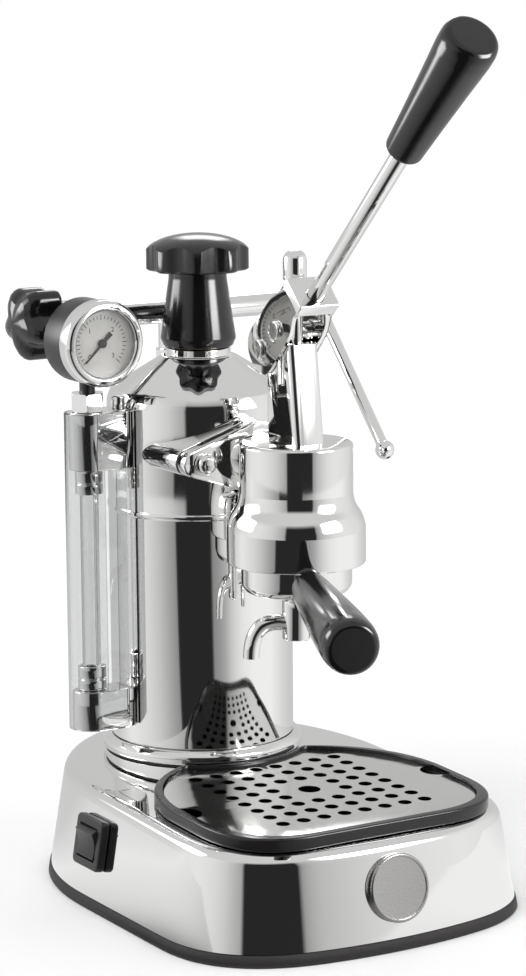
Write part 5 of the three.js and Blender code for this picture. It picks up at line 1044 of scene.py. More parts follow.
def addGauge():
    g = gauge
    lipFront = g["caseFront"] + g["lipLength"]
    lipBore = g["lip"] - g["wall"]
    floor = 2 * g["wall"] - g["back"]
    stemFoot = g["height"] - sight["upperHigh"] + g["stemSink"]
    stem = moved(turnedTo(rod(g["stem"], g["stemTop"], stemFoot, 0.3, 48), "X", 90), 0, 0, -g["forward"])
    case = joined(turned([(0, -g["back"]), (g["case"], -g["back"]), (g["case"], g["caseFront"]),
                          (g["lip"], g["caseFront"]), (g["lip"], lipFront), (lipBore, lipFront),
                          (lipBore, floor), (0, floor)], 0.8, 96), stem)
    addPiece("gaugeCase", case, "machine", "plastic", ["gauge_case"], place=gaugePlace)
    lipBack = g["front"] - g["bezelLip"]
    bore = g["lip"] + fitGap
    bezel = turned([(bore, g["caseFront"] + fitGap), (g["bezel"], g["caseFront"] + fitGap),
                    (g["bezel"], g["front"] - 2.6), (g["bezel"] - 1.4, g["front"] - 0.5),
                    (g["window"] + 1.2, g["front"]), (g["window"], g["front"] - 1.2),
                    (g["window"], lipBack), (bore, lipBack)], 0.8, 128, 6)
    addPiece("gaugeBezel", bezel, "machine", "chrome", ["gauge_bezel"], place=gaugePlace)
    dial = rod(g["lip"], dialFront - g["dial"], dialFront, 0.1, 96)
    addPiece("gaugeDial", dial, "machine", "enamel", ["gauge_dial"], place=gaugePlace)
    window = rod(g["lip"], lipBack - fitGap - g["glass"], lipBack - fitGap, 0.2, 96)
    addPiece("gaugeWindow", window, "machine", "glass", ["gauge_glass"], place=gaugePlace)
    w = g["needleWidth"]
    outline = [Vector(p) for p in [(-w, -g["tail"]), (w, -g["tail"]), (w / 2, 0), (w / 4, g["needle"]),
                                   (-w / 4, g["needle"]), (-w / 2, 0)]]
    back = dialFront + fitGap
    needle = joined(slab(outline, back + g["hubHeight"] / 3,
                         back + g["hubHeight"] / 3 + g["needleThickness"], 0.1),
                    rod(g["hub"], back, back + g["hubHeight"], 0.4, 48))
    addPiece("gaugeNeedle", needle, "gauge_pointer", "ink", ["gauge_needle"],
             place=gaugePlace @ Matrix.Rotation(math.radians(g["rest"]), 4, "Z"))
    low = sight["upperHigh"] + fitGap
    nut = combined(hexagonal(g["nut"], low, low + g["nutHeight"]),
                   [rod(g["stem"] + fitGap, low - 1, low + 12, 0, 48)])
    addPiece("gaugeNut", nut, "machine", "chrome", ["gauge_nut"], place=sightPlace)

    tree, known = tickTree()
    seed = bmesh.new()
    seed.verts.new((0, 0, 0))
    mesh = grownMesh(seed, tree, known, {
        "Count": g["ticks"], "Sweep": float(g["sweep"]), "Radius": g["tickRadius"],
        "Length": g["tickLength"], "Width": g["tickWidth"], "Height": dialFront + 0.06,
        "Material": materials["ink"]}, "dialTicks")
    mesh.transform(toRow @ gaugePlace)
    dressPiece("dialTicks", mesh, "machine", "ink")
    for k in range(7):
        a = math.radians(g["sweep"] * (k / 6 - 0.5))
        if k % 2 == 0:
            addNumber(str(k // 2), g["numberRadius"] * math.sin(a), g["numberRadius"] * math.cos(a))


addSightGlass()
addGauge()
print("sight glass and gauge made")


# brewing group, piston rod and lever

group = {
    "forward": 95.3, "flare": 35, "flareTop": 197, "bottom": 177.6, "radius": 28.7, "waist": 211,
    "top": 239, "bore": 24.5, "boreTop": 233, "ringBore": 28.6, "lipHeight": 3.4, "lugBore": 32.8,
    "lugRoomTop": 187.2, "gasketBore": 31, "gasketRoomTop": 193, "postTop": 289, "postTopReach": 8.9,
    "postFootReach": 15, "postCrown": 0.6, "postCorner": 3, "postBack": 13, "flatHalf": 8.6,
    "slotBottom": 268, "slotHalf": 3.3, "lugRadius": 6.6, "lugFoot": 272, "rodRadius": 4, "rodLow": 223,
    "rodTop": 328, "capRadius": 6, "capLow": 320.3, "capTop": 335, "pinRadius": 3, "pinHole": 3.1,
    "pinHead": 4.6, "pinHeadHeight": 1.4, "pinReach": 11.8, "rodPin": 295.8, "reach": 19, "travel": 70,
    "gateHalf": 27.5, "gateTurn": -57.4, "cutHalf": 30, "pinCutHalf": 10,
    "neckCut": (150, 300), "portStart": 52,
}
pinRise = math.radians(group["travel"] / 2)
fulcrumBack = group["reach"] * math.cos(pinRise)
fulcrumHeight = group["rodPin"] - group["reach"] * math.sin(pinRise)
groupPlace = Matrix.Translation((0, -group["forward"], 0))


def sector(radius, halfAngle, low, high):
    # a slice of a disc, pointing along X
    half = math.radians(halfAngle)
    outline = [Vector((radius / 2, 0))] + [Vector(p) for p in arcPoints(0, 0, radius, -half, half, 16)]
    return slab(outline, low, high, 0)


def postRing(reach, height):
    # outline of the post at a height: rounded, slightly bulging front and square back
    corner, across = group["postCorner"], group["flatHalf"] - group["postCorner"]
    half = [(across * k / 4, 0) for k in range(1, 4)]
    for k in range(9):
        turn = rightAngle * k / 8
        half.append((across + corner * math.sin(turn), corner - corner * math.cos(turn)))
    half = [(x, y - reach + group["postCrown"] * (min(x, across) / across) ** 2) for x, y in half]
    half.append((group["flatHalf"], group["postBack"] / 4))
    return [Vector((x, y, height)) for x, y in [(0, -reach), *half, *((-x, y) for x, y in reversed(half))]]


def addGroup():
    g = group
    rodBore = g["rodRadius"] + fitGap
    casting = turned([
        (g["ringBore"], g["bottom"]), (g["flare"], g["bottom"]), (g["flare"], g["flareTop"]),
        (g["flare"] - 1.8, g["flareTop"] + 5.6), (g["radius"] + 1.2, g["flareTop"] + 10.5),
        (g["radius"], g["waist"] + 1), (g["radius"], g["top"] - 1.2), (g["radius"] - 1.2, g["top"]),
        (rodBore, g["top"]), (rodBore, g["boreTop"]), (g["bore"], g["boreTop"]),
        (g["bore"], g["gasketRoomTop"]), (g["gasketBore"], g["gasketRoomTop"]),
        (g["gasketBore"], g["lugRoomTop"]), (g["lugBore"], g["lugRoomTop"]),
        (g["lugBore"], g["bottom"] + g["lipHeight"]),
        (g["ringBore"], g["bottom"] + g["lipHeight"])], 2.2, 160, 6)
    lugTop = fulcrumHeight + g["lugRadius"]
    seat = g["top"] - 3
    profile = [(0, seat), (0, g["postTop"]), (-g["postTopReach"] / 2, lugTop), (-fulcrumBack, lugTop)]
    profile += arcPoints(-fulcrumBack, fulcrumHeight, g["lugRadius"], rightAngle, math.pi, 12)[1:]
    profile += [(-g["postBack"], g["lugFoot"]), (-g["postBack"], seat)]
    lug = slab([Vector(p) for p in profile], -g["flatHalf"], g["flatHalf"], 0.5)
    lug = turnedTo(turnedTo(lug, "X", 90), "Z", -90)
    post = skinned([postRing(reach, height) for reach, height in (
        (g["postFootReach"], seat), (g["postFootReach"], g["top"]), (g["postTopReach"], g["postTop"] - 0.4),
        (g["postTopReach"] - 0.4, g["postTop"]))])
    slotHigh = lugTop - g["slotBottom"] + 3
    slot = moved(blockOf(50, 2 * g["slotHalf"], slotHigh, 0.3), 0, 0, g["slotBottom"] + slotHigh / 2)
    fulcrumHole = alongX(rod(g["pinRadius"] + fitGap, -g["cutHalf"], g["cutHalf"], 0, 32))
    fulcrumHole = moved(fulcrumHole, 0, fulcrumBack, fulcrumHeight)
    # slot and bores go in before the casting is joined, so that both sides of the slot stay open
    post = combined(joined(post, lug), [slot, fulcrumHole])
    post = combined(post, [rod(rodBore, g["boreTop"], lugTop + 2, 0, 48)])
    plate = moved(diamond(0, flange["back"], flange["back"] + flange["thickness"], 1.1), 0, g["forward"], 0)
    neck = alongFront(rod(flange["neckRadius"], flange["back"] - g["forward"], 0, 0, 96))
    neck = combined(moved(neck, 0, 0, flange["height"]), [rod(g["bore"] + 1, *g["neckCut"], 0, 96)])
    gates = []
    for turn in (0, 180):
        gate = sector(g["lugBore"], g["gateHalf"], g["bottom"] - 1, g["bottom"] + g["lipHeight"] + 1)
        gates.append(turnedTo(gate, "Z", turn + g["gateTurn"]))
    holes = [moved(hole, 0, g["forward"], 0) for hole in boltHoles(flange["boltHole"], *flange["plateHole"])]
    port = alongFront(rod(flange["port"], g["portStart"], g["forward"], 0, 24))
    port = moved(port, 0, g["forward"], flange["height"])
    body = combined(joined(casting, post, neck, plate), [*gates, *holes, port])
    addPiece("groupCasting", body, "machine", "chrome", ["group_body"], sharp=26, place=groupPlace)

    f = flange
    head = f["back"] + f["thickness"] + fitGap
    for name, side in (("left", -1), ("right", 1)):
        bolt = turned([(0, head - f["boltLength"]), (f["boltRadius"], head - f["boltLength"]),
                       (f["boltRadius"], head), (f["boltHead"], head),
                       (f["boltHead"], head + f["boltHeadHeight"] * 0.6),
                       (f["boltHead"] * 0.7, head + f["boltHeadHeight"] * 0.93),
                       (0, head + f["boltHeadHeight"])], 1.6, 48, 6)
        addPiece("groupBolt" + name.capitalize(), alongFront(bolt), "machine", "chrome",
                 ["group_bolt_" + name], place=Matrix.Translation((side * f["boltSpread"], 0, f["height"])))

    pinHole = moved(alongX(rod(g["pinHole"], -g["pinCutHalf"], g["pinCutHalf"], 0, 32)), 0, 0, g["rodPin"])
    bar = combined(rod(g["rodRadius"], g["rodLow"], g["rodTop"], 0.4, 48), [pinHole])
    addPiece("pistonRod", bar, "piston_unit", "chrome", ["piston_rod"], place=groupPlace)
    nut = turned([(rodBore, g["capLow"]), (g["capRadius"], g["capLow"]), (g["capRadius"], g["capTop"] - 4),
                  (g["capRadius"] * 0.8, g["capTop"] - 1.3), (g["capRadius"] * 0.4, g["capTop"]),
                  (0, g["capTop"]), (0, g["rodTop"] + fitGap), (rodBore, g["rodTop"] + fitGap)], 1.3, 64, 6)
    addPiece("rodCapNut", nut, "piston_unit", "chrome", ["rod_cap_nut"], place=groupPlace)

    def pin():
        r, h = g["pinReach"], g["pinHeadHeight"]
        return alongX(turned([(0, -r - h), (g["pinHead"], -r - h), (g["pinHead"], -r), (g["pinRadius"], -r),
                              (g["pinRadius"], r), (g["pinHead"], r), (g["pinHead"], r + h),
                              (0, r + h)], 0.5, 48))
    addPiece("rodPin", pin(), "piston_unit", "steel", ["rod_pin"],
             place=groupPlace @ Matrix.Translation((0, 0, g["rodPin"])))
    addPiece("fulcrumPin", pin(), "machine", "steel", ["fulcrum_pin"],
             place=groupPlace @ Matrix.Translation((0, fulcrumBack, fulcrumHeight)))


lever = {
    "angle": 44.3, "inner": 9, "outer": 11.5, "cheekBack": 9.9, "cheekFront": 38, "cheekHalf": 12.4,
    "plate": 7, "plateHalf": 9.4, "plateDrop": 0.5, "play": 0.9, "slotRadius": 3.9, "rod": 4.8,
    "rodFoot": 4.4, "rodSeat": 4, "inHandle": 29, "handleStart": 151.8, "handleEnd": 231.2,
    "startRadius": 9.2, "endRadius": 14.1,
}


def addLever():
    v = lever
    place = groupPlace @ Matrix.Translation((0, fulcrumBack, fulcrumHeight)) @ \
        Matrix.Rotation(-math.radians(v["angle"]), 4, "X")
    pinTurn = pinRise - math.radians(v["angle"])
    rodLine = group["reach"] * math.sin(pinTurn)
    shares = [(1, 0.52, 1), (0.75, 0.86, 1), (0, 0.93, 1), (0.5, 0.8, 0), (0.9, 0.42, 0), (1, -0.1, 0),
              (0.9, -0.62, 0), (0.5, -1, 0), (0, -1.08, 1), (0.7, -1.02, 1), (1, -0.58, 1)]
    points = []
    for along, rise, front in shares:
        points.append((-along * v["cheekFront"] if front else along * v["cheekBack"], rise * v["cheekHalf"]))
    ring = softened([*points, points[0]], 3.5, 5)[:-1]
    outline = [Vector(p) for p in ring]

    def across(shape):
        return turnedTo(turnedTo(shape, "X", 90), "Z", 90)
    nearEnd = arcPoints(v["play"] / 2 - fulcrumBack, 0, v["slotRadius"], -rightAngle, rightAngle, 12)
    farEnd = arcPoints(-v["play"] / 2 - group["reach"], 0, v["slotRadius"], rightAngle, 3 * rightAngle, 12)
    slotOutline = [Vector(p) for p in nearEnd + farEnd]
    slot = across(slab(slotOutline, -group["cutHalf"], group["cutHalf"], 0))
    slot.transform(Matrix.Rotation(-pinTurn, 4, "X"))
    front = v["cheekFront"] + v["plate"]
    whole = joined(across(slab(outline, -v["outer"], v["outer"], 0.6)),
                   moved(blockOf(2 * v["outer"], v["plate"] + 2, 2 * v["plateHalf"], 0.7), 0,
                         -v["cheekFront"] - v["plate"] / 2 + 1, -v["plateDrop"]))
    length = v["cheekFront"] + v["cheekBack"] + 1
    gap = moved(blockOf(2 * v["inner"], length, 60, 0.2), 0, length / 2 - v["cheekFront"], 0)
    seat = alongFront(rod(v["rodFoot"] + fitGap, front - v["rodSeat"], front + 2, 0, 48))
    seat = moved(seat, 0, 0, rodLine)
    pinHole = alongX(rod(group["pinRadius"] + fitGap, -group["cutHalf"], group["cutHalf"], 0, 32))
    fork = combined(whole, [gap, slot, pinHole, seat])
    addPiece("leverFork", fork, "lever", "chrome", ["lever_fork"], sharp=32, place=place)

    line = Matrix.Translation((0, 0, rodLine))
    foot = front - v["rodSeat"] + fitGap
    bottom = v["handleStart"] + v["inHandle"]
    bar = turned([(0, foot), (v["rodFoot"], foot), (v["rod"], v["handleStart"]), (v["rod"], bottom - fitGap),
                  (0, bottom - fitGap)], 0.4, 64)
    addPiece("leverRod", alongFront(bar), "lever", "chrome", ["lever_rod"], place=place @ line)
    span, swell = v["handleEnd"] - v["handleStart"], v["endRadius"] - v["startRadius"]
    knots = [(0, 0, 0.86), (0.02, 0.03, 1), (0.3, 0.31, 1), (0.6, 0.64, 1), (0.86, 0.97, 1), (0.94, 1, 0.99),
             (0.98, 1, 0.93), (1, 1, 0.8)]
    swelling = [((v["startRadius"] + swell * grow) * share, v["handleStart"] + span * along)
                for along, grow, share in knots]
    grip = turned([(0, v["handleStart"]), *swelling, (0, v["handleEnd"])], 1.6, 96, 6)
    grip = combined(grip, [rod(v["rod"] + fitGap, v["handleStart"] - 1, bottom, 0, 48)])
    addPiece("leverHandle", alongFront(grip), "lever", "bakelite", ["lever_handle"], sharp=36,
             place=place @ line)


addGroup()
addLever()
print("group and lever made")


# portafilter, spout, switch, badge and gland

porta = {
    "turn": -22.4, "radius": 28, "top": 186.5, "bottom": 163.3, "wall": 1.8, "lugReach": 4.4,
    "lugHeight": 4.6, "lugHalf": 22, "lugBottom": 181.3, "nozzle": 5.5, "nozzleBore": 3.2,
    "nozzleBottom": 151, "armHeight": 172.5, "armDrop": 2.4, "arm": 5, "armStart": 26.5, "armEnd": 52,
    "shoulder": 12.9, "shank": 6, "handleStart": 35.6, "handleEnd": 151, "handleRadius": 14,
}
spout = {"hub": 7.5, "top": 158.3, "bottom": 138, "floor": 142, "reach": 23.5, "tip": 129, "arm": 4.2,
         "bore": 2.9, "height": 149}


def addPortafilter():
    p = porta
    place = groupPlace @ Matrix.Rotation(math.radians(p["turn"]), 4, "Z")
    bore = p["radius"] - p["wall"]
    floor = p["bottom"] + p["wall"]
    cup = turned([
        (p["nozzleBore"], p["nozzleBottom"]), (p["nozzle"], p["nozzleBottom"]),
        (p["nozzle"], p["bottom"] - 3.6), (p["shoulder"], p["bottom"] - 1.8),
        (p["radius"] - 2.2, p["bottom"]), (p["radius"], p["bottom"] + 3.4), (p["radius"], p["top"]),
        (bore, p["top"]), (bore, floor + 1.8), (bore - 1.8, floor),
        (p["nozzleBore"], floor - 1.8)], 1.2, 128, 5)
    lugs = []
    for turn in (0, 180):
        lug = sector(p["radius"] + p["lugReach"], p["lugHalf"], p["lugBottom"],
                     p["lugBottom"] + p["lugHeight"])
        lug = combined(lug, [rod(bore + 0.9, p["nozzleBottom"], group["top"], 0, 96)])
        lugs.append(turnedTo(lug, "Z", turn))
    droop = Matrix.Rotation(rightAngle + math.radians(p["armDrop"]), 4, "X")
    tilt = Matrix.Translation((0, 0, p["armHeight"])) @ droop
    arm = joined(rod(p["arm"], p["armStart"], p["armEnd"], 0.4, 48),
                 rod(p["shank"], p["armStart"], p["handleStart"] - fitGap, 0.5, 48))
    arm = combined(moved(arm, matrix=tilt), [rod(bore, p["nozzleBottom"], group["top"], 0, 96)])
    body = joined(cup, *lugs, arm)
    addPiece("portafilterCup", body, "portafilter", "chrome", ["portafilter_body"], sharp=30, place=place)

    length = p["handleEnd"] - p["handleStart"]
    knots = [(0, 0.58), (0.02, 0.66), (0.12, 0.72), (0.3, 0.79), (0.55, 0.9), (0.75, 0.97), (0.9, 1),
             (0.955, 0.975), (0.985, 0.9), (1, 0.78)]
    swelling = [(p["handleRadius"] * share, p["handleStart"] + length * along) for along, share in knots]
    grip = turned([(0, p["handleStart"]), *swelling, (0, p["handleEnd"])], 1.8, 96, 6)
    grip = combined(grip, [rod(p["arm"] + fitGap, p["handleStart"] - 1, p["armEnd"] + fitGap, 0, 48)])
    addPiece("portafilterHandle", moved(grip, matrix=tilt), "portafilter", "bakelite",
             ["portafilter_handle"], sharp=36, place=place)

    s = spout
    seat = p["nozzleBottom"] - fitGap
    hub = turned([(0, s["bottom"]), (s["hub"], s["bottom"]), (s["hub"], s["top"]),
                  (p["nozzle"] + fitGap, s["top"]), (p["nozzle"] + fitGap, seat), (p["nozzleBore"], seat),
                  (p["nozzleBore"], s["floor"]), (0, s["floor"])], 0.8, 64)

    def run(side):
        start = Vector((0, 0, s["height"] - s["arm"]))
        knee = Vector((side * s["reach"], 0, s["height"] + s["arm"]))
        end = Vector((side * s["reach"], 0, s["tip"]))
        return [(1 - t) ** 2 * start + 2 * t * (1 - t) * knee + t * t * end
                for t in (k / 24 for k in range(25))]
    arms = [swept(run(side), s["arm"], 40) for side in (-1, 1)]
    bores = [swept([*run(side), run(side)[-1] - Vector((0, 0, 1))], s["bore"], 24) for side in (-1, 1)]
    core = rod(p["nozzleBore"], s["floor"], seat + 1, 0, 32)
    socket = rod(p["nozzle"] + fitGap, seat, s["top"] + 8, 0, 48)
    whole = combined(joined(hub, *arms), [*bores, core, socket])
    addPiece("twinSpout", whole, "portafilter", "chrome", ["spout"], sharp=30, place=place)


def roundedRectangle(width, height, radius):
    x, y = width / 2 - radius, height / 2 - radius
    outline = []
    for k, (cx, cy) in enumerate(((x, y), (-x, y), (-x, -y), (x, -y))):
        outline += arcPoints(cx, cy, radius, rightAngle * k, rightAngle * (k + 1), 6)
    return [Vector(p) for p in outline]


def addFittings():
    s = switch
    pivot = s["proud"] - s["sink"]
    room = 2 * (s["rockerRadius"] + fitGap)
    pocket = moved(blockOf(s["rockerWidth"] + 2 * fitGap, room, room, 0.3), 0, 0, pivot)
    inWall = blockOf(s["bodyWidth"], s["bodyTall"], s["bodyDepth"] + s["frameLap"], 0.3)
    frameBody = joined(slab(roundedRectangle(s["width"], s["tall"], s["corner"]), 0.3, s["proud"], 1.1, 5),
                       moved(inWall, 0, 0, (s["frameLap"] - s["bodyDepth"]) / 2))
    addPiece("switchFrame", combined(frameBody, [pocket]), "machine", "plastic", ["switch_bezel"],
             place=switchWall)
    high, low = math.radians(s["high"]), math.radians(s["low"])
    r = s["rockerRadius"]
    outline = arcPoints(0, 0, r, -low, high, 14)
    peak, valley = outline[-1], (0, r * s["dish"])
    outline += [(peak[0] * (1 - t), peak[1] + (valley[1] - peak[1]) * (1 - (1 - t) ** 2))
                for t in (0.2, 0.4, 0.6, 0.8)]
    mirror = [(-x, y) for x, y in reversed(outline)]
    rocker = slab([Vector(p) for p in [*outline, valley, *mirror]],
                  -s["rockerWidth"] / 2, s["rockerWidth"] / 2, 0.4)
    rocker = turnedTo(turnedTo(rocker, "Y", 90), "X", 90)
    place = switchWall @ Matrix.Translation((0, 0, pivot)) @ Matrix.Rotation(math.radians(s["throw"]), 4, "X")
    addPiece("switchRocker", rocker, "power_rocker", "plastic", ["switch_rocker"], place=place)

    b = badge
    disc = turned([(0, b["lift"]), (b["radius"] - 0.9, b["lift"]), (b["radius"], 1.2),
                   (b["radius"], b["thickness"]), (b["radius"] - 0.9, b["thickness"] + b["rimHeight"]),
                   (b["radius"] - b["rim"], b["thickness"] + 0.5),
                   (b["radius"] - b["rim"], b["thickness"]), (0, b["thickness"])], 0.35, 96)
    addPiece("frontBadge", disc, "machine", "badge", ["front_badge"], place=frontWall)
    g = gland
    nose = g["flange"] + g["nose"]
    boot = turned([(g["bore"], -g["shank"]), (g["shankRadius"], -g["shank"]), (g["shankRadius"], g["lift"]),
                   (g["radius"], g["lift"]), (g["radius"], g["flange"]), (g["noseRadius"], g["flange"]),
                   (g["noseRadius"] - 1, nose), (g["bore"], nose)], 0.6, 48)
    addPiece("cordGland", boot, "machine", "rubber", ["cord_gland"], place=backWall)


addPortafilter()
addFittings()
print("portafilter, spout and fittings made")


# the CAD pieces that stay

stays = {
    "cover": ["bottom_cover"], "brass": ["boiler_nut", "cap_core", "steam_spindle", "piston"],
    "steel": ["cover_screw_1", "cover_screw_2", "cover_screw_3", "cover_screw_4", "heating_element",
              "shower_screen", "filter_basket", "pressure_switch"],
    "rubber": ["cap_gasket", "group_gasket", "brew_gasket", "piston_seal"],
}
for material, names in stays.items():
    for name in names:
        mesh = nodes[name].data
        mesh.materials.clear()
        mesh.materials.append(materials[material])


# floor, light and camera

stageSettings = {
    "floorSize": 12, "floorColour": "#f2f2f2", "floorGlow": 0.06, "keyStrength": 1.1, "fillStrength": 0.5,
    "worldLight": 0.75, "roofLight": 0.66, "tentRadius": 1.5, "tentHeight": 3.0, "tentForward": 0.048,
    "sheetInner": 0.1, "sheetHeight": 0.0015,
}
# each softbox: degrees from the camera's side, then distance, width, lower and upper edge
# in metres, and strength
softboxes = {
    "rightSoftbox": (60, 0.52, 0.6, 0.16, 0.68, 15), "leftSoftbox": (-95, 0.52, 0.8, 0.14, 0.68, 8),
    "backSoftbox": (180, 1.1, 0.8, 0.5, 1.35, 5),
}
softEdge = [(0, 0), (0.1, 0.015), (0.2, 0.08), (0.34, 1), (0.66, 1), (0.8, 0.08), (0.9, 0.015), (1, 0)]
# brightness of the light tent round the machine: degrees from the camera's side of it, and how
# bright it is there; the dark part is the slit that the camera looks through, which leans over
# to the right above the table
sheetLevels = [(-180, 0.6), (-150, 0.62), (-125, 0.66), (-100, 0.9), (-74, 0.76), (-65, 0.68), (-56, 0.58),
               (-48, 0.47), (-41, 0.38), (-34, 0.3), (-32, 0.022), (11, 0.022), (14, 0.27), (21, 0.33),
               (29, 0.43), (37, 0.62), (45, 0.76), (55, 0.88), (70, 0.96), (100, 0.96), (125, 0.75),
               (150, 0.62), (180, 0.6)]
wallLevels = [(-180, 0.6), (-150, 0.6), (-117, 0.68), (-100, 0.86), (-80, 0.88), (-65, 0.84), (-50, 0.76),
              (-38, 0.66), (-27, 0.52), (-19, 0.42), (-16, 0.022), (31, 0.022), (34, 0.36), (42, 0.55),
              (52, 0.68), (63, 0.8), (80, 0.88), (120, 0.8), (150, 0.62), (180, 0.6)]


def addFloor():
    material, tree, shader = newMaterial("whitePaperSweep", {
        "Base Color": linear(stageSettings["floorColour"]), "Roughness": 0.9, "Specular IOR Level": 0.0})
    fibre = addNode(tree, "ShaderNodeTexNoise", {"Scale": 400.0, "Detail": 2.0},
                    {"Vector": patternPlace(tree)})
    addBump(tree, shader, fibre.outputs["Fac"], 0.02, 0.1)
    rays = addNode(tree, "ShaderNodeLightPath")
    seen = addNode(tree, "ShaderNodeMath", {"operation": "MAXIMUM"}, {
        0: rays.outputs["Is Camera Ray"], 1: rays.outputs["Is Glossy Ray"]})
    seen = addNode(tree, "ShaderNodeMath", {"operation": "MAXIMUM"}, {
        0: seen.outputs[0], 1: rays.outputs["Is Transmission Ray"]})
    glow = addNode(tree, "ShaderNodeMath", {"operation": "MULTIPLY", 1: stageSettings["floorGlow"]},
                   {0: seen.outputs[0]})
    shader.inputs["Emission Color"].default_value = (1, 1, 1, 1)
    tree.links.new(glow.outputs[0], shader.inputs["Emission Strength"])
    size = stageSettings["floorSize"] / 2
    mesh = bpy.data.meshes.new("floor")
    mesh.from_pydata([(-size, -size, 0), (size, -size, 0), (size, size, 0), (-size, size, 0)], [],
                     [(0, 1, 2, 3)])
    mesh.materials.append(material)
    floor = bpy.data.objects.new("floor", mesh)
    bpy.context.scene.collection.objects.link(floor)


def rampOf(tree, levels, factor):
    ramp = addNode(tree, "ShaderNodeValToRGB", None, {"Fac": factor})
    stops = ramp.color_ramp.elements
    while len(stops) < len(levels):
        stops.new(0.5)
    for stop, (place, level) in zip(stops, levels):
        stop.position = place
        stop.color = (level, level, level, 1)
    return ramp.outputs["Color"]


def onlyMirrored(piece):
    piece.visible_camera = False
    piece.visible_diffuse = False
    piece.visible_shadow = False


def seenStraight(tree):
    # 1 for a ray that comes from the camera through clear pieces only
    rays = addNode(tree, "ShaderNodeLightPath")
    direct = addNode(tree, "ShaderNodeMath", {"operation": "LESS_THAN", 1: 0.5},
                     {0: rays.outputs["Glossy Depth"]})
    both = addNode(tree, "ShaderNodeMath", {"operation": "MULTIPLY"}, {
        0: direct.outputs[0], 1: rays.outputs["Is Transmission Ray"]})
    return both.outputs[0]


def addCloth(name, low, high, levels, fading):
    # a ring of lit cloth that only shows in reflections, from (radius, height) to (radius, height);
    # higher up its pattern fades into the plain light of the roof
    material = bpy.data.materials.new(name + "Cloth")
    material.use_nodes = True
    tree = material.node_tree
    tree.nodes.clear()
    place = addNode(tree, "ShaderNodeTexCoord")
    split = addNode(tree, "ShaderNodeSeparateXYZ", None, {"Vector": place.outputs["UV"]})
    cloth = rampOf(tree, [((angle + 180) / 360, level) for angle, level in levels], split.outputs["X"])
    fade = rampOf(tree, fading, split.outputs["Y"])
    total = addNode(tree, "ShaderNodeMix", {3: stageSettings["roofLight"]}, {0: fade, 2: cloth})
    glow = addNode(tree, "ShaderNodeEmission", None, {"Strength": total.outputs[0]})
    clear = addNode(tree, "ShaderNodeBsdfTransparent")
    either = addNode(tree, "ShaderNodeMixShader", None,
                     {0: seenStraight(tree), 1: glow.outputs[0], 2: clear.outputs[0]})
    addNode(tree, "ShaderNodeOutputMaterial", None, {"Surface": either.outputs[0]})
    steps = 180
    shape = bmesh.new()
    uv = shape.loops.layers.uv.new("round")
    corners = []
    for k in range(steps + 1):
        a = math.radians(camera["azimuth"] - 180 + 360 * k / steps)
        corners.append([shape.verts.new(boilerAxis + Vector((
            math.sin(a) * radius, -math.cos(a) * radius - stageSettings["tentForward"], height)))
            for radius, height in (low, high)])
    for k in range(steps):
        face = shape.faces.new([corners[k][0], corners[k][1], corners[k + 1][1], corners[k + 1][0]])
        for loop, (u, v) in zip(face.loops, ((k, 0), (k, 1), (k + 1, 1), (k + 1, 0))):
            loop[uv].uv = (u / steps, v)
    mesh = bpy.data.meshes.new(name)
    shape.to_mesh(mesh)
    shape.free()
    mesh.materials.append(material)
    cloth = bpy.data.objects.new(name, mesh)
    bpy.context.scene.collection.objects.link(cloth)
    onlyMirrored(cloth)


def addSoftbox(name, azimuth, distance, width, low, high, strength):
    # a lamp behind cloth that only shows in reflections, and fades out softly from its middle
    material = bpy.data.materials.new(name + "Lamp")
    material.use_nodes = True
    tree = material.node_tree
    tree.nodes.clear()
    place = addNode(tree, "ShaderNodeTexCoord")
    split = addNode(tree, "ShaderNodeSeparateXYZ", None, {"Vector": place.outputs["UV"]})
    across = rampOf(tree, softEdge, split.outputs["X"])
    along = rampOf(tree, softEdge, split.outputs["Y"])
    both = addNode(tree, "ShaderNodeMath", {"operation": "MULTIPLY"}, {0: across, 1: along})
    total = addNode(tree, "ShaderNodeMath", {"operation": "MULTIPLY", 1: strength}, {0: both.outputs[0]})
    glow = addNode(tree, "ShaderNodeEmission", None, {"Strength": total.outputs[0]})
    clear = addNode(tree, "ShaderNodeBsdfTransparent")
    veil = addNode(tree, "ShaderNodeMath", {"operation": "SUBTRACT", "use_clamp": True}, {
        0: both.outputs[0], 1: seenStraight(tree)})
    sheer = addNode(tree, "ShaderNodeMixShader", None,
                    {0: veil.outputs[0], 1: clear.outputs[0], 2: glow.outputs[0]})
    addNode(tree, "ShaderNodeOutputMaterial", None, {"Surface": sheer.outputs[0]})
    a = math.radians(camera["azimuth"] + azimuth)
    centre = boilerAxis + Vector((math.sin(a) * distance,
                                  -math.cos(a) * distance - stageSettings["tentForward"], 0))
    side = Vector((math.cos(a), math.sin(a), 0)) * width / 2
    mesh = bpy.data.meshes.new(name)
    mesh.from_pydata([centre - side + Vector((0, 0, low)), centre + side + Vector((0, 0, low)),
                      centre + side + Vector((0, 0, high)), centre - side + Vector((0, 0, high))], [],
                     [(0, 1, 2, 3)])
    layer = mesh.uv_layers.new(name="round")
    for loop, spot in zip(layer.data, ((0, 0), (1, 0), (1, 1), (0, 1))):
        loop.uv = spot
    mesh.materials.append(material)
    lamp = bpy.data.objects.new(name, mesh)
    bpy.context.scene.collection.objects.link(lamp)
    onlyMirrored(lamp)


def addTent():
    t = stageSettings
    low = (t["tentRadius"], t["sheetHeight"])
    addCloth("tentSheet", (t["sheetInner"], t["sheetHeight"]), low, sheetLevels, [(0, 0), (1, 0)])
    addCloth("tentWall", low, (t["tentRadius"], t["tentHeight"]), wallLevels,
             [(0, 0), (0.3, 0), (0.46, 1), (1, 1)])
    for name, sizes in softboxes.items():
        addSoftbox(name, *sizes)


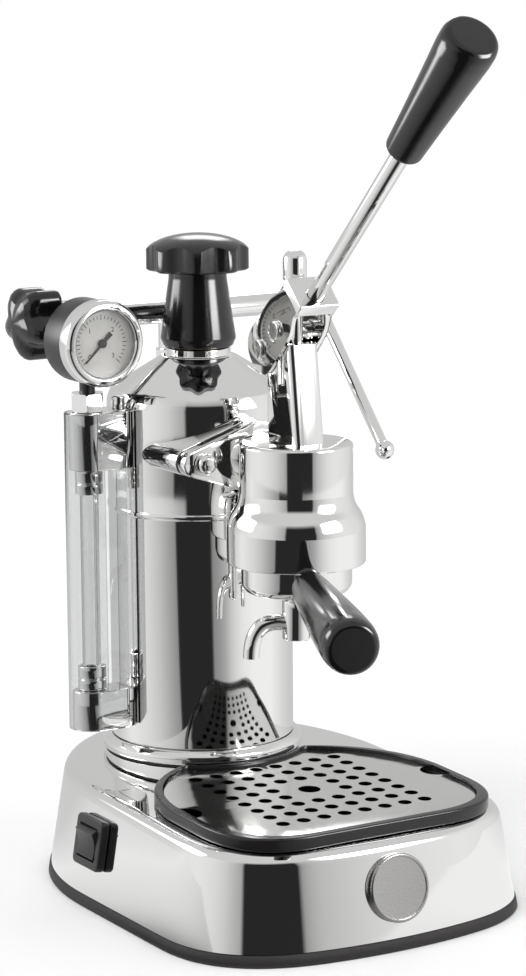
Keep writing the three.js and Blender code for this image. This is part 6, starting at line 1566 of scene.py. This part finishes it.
def addSun(name, azimuth, elevation, strength, spread):
    light = bpy.data.lights.new(name, "SUN")
    light.energy = strength
    light.angle = math.radians(spread)
    lamp = bpy.data.objects.new(name, light)
    lamp.rotation_euler = (math.radians(90 - elevation), 0, math.radians(azimuth))
    lamp.visible_glossy = False
    bpy.context.scene.collection.objects.link(lamp)


def addWorld():
    world = bpy.data.worlds.new("studio")
    bpy.context.scene.world = world
    world.use_nodes = True
    tree = world.node_tree
    background = next(n for n in tree.nodes if n.type == "BACKGROUND")
    rays = addNode(tree, "ShaderNodeLightPath")
    seen = addNode(tree, "ShaderNodeMath", {"operation": "MAXIMUM"}, {
        0: rays.outputs["Is Camera Ray"], 1: seenStraight(tree)})
    mirrored = addNode(tree, "ShaderNodeMapRange", {
        "To Min": stageSettings["worldLight"], "To Max": stageSettings["roofLight"]},
        {"Value": rays.outputs["Is Glossy Ray"]})
    level = addNode(tree, "ShaderNodeMix", {3: 1.0}, {0: seen.outputs[0], 2: mirrored.outputs[0]})
    background.inputs["Color"].default_value = (1, 1, 1, 1)
    tree.links.new(level.outputs[0], background.inputs["Strength"])


camera = {"azimuth": -31.57, "pitch": 9.97, "roll": -0.44, "distance": 1627.11, "focal": 3182.35,
          "side": 1.85, "height": 210.17, "forward": 60, "longSide": 976}


def addCamera():
    c = camera
    a, e, r = (math.radians(c[k]) for k in ("azimuth", "pitch", "roll"))
    back = Vector((math.sin(a) * math.cos(e), -math.cos(a) * math.cos(e), math.sin(e)))
    level = Vector((math.cos(a), math.sin(a), 0))
    rise = back.cross(level)
    right = math.cos(r) * level + math.sin(r) * rise
    up = -math.sin(r) * level + math.cos(r) * rise
    target = Vector((0, -c["forward"], c["height"])) + level * c["side"]
    spot = toRow @ (target + back * c["distance"])
    lens = bpy.data.cameras.new("photoCamera")
    lens.sensor_width = 36
    lens.lens = c["focal"] * lens.sensor_width / c["longSide"]
    lens.clip_start = 0.05
    lens.clip_end = 50
    view = bpy.data.objects.new("photoCamera", lens)
    turn = Matrix((right, up, back)).transposed().to_4x4()
    view.matrix_world = Matrix.Translation(spot) @ turn
    bpy.context.scene.collection.objects.link(view)
    bpy.context.scene.camera = view


addFloor()
addTent()
addSun("keyLight", -75, 48, stageSettings["keyStrength"], 40)
addSun("fillLight", 40, 40, stageSettings["fillStrength"], 60)
addWorld()
addCamera()
bpy.context.scene.view_settings.view_transform = "Standard"
print("floor, light and camera made")
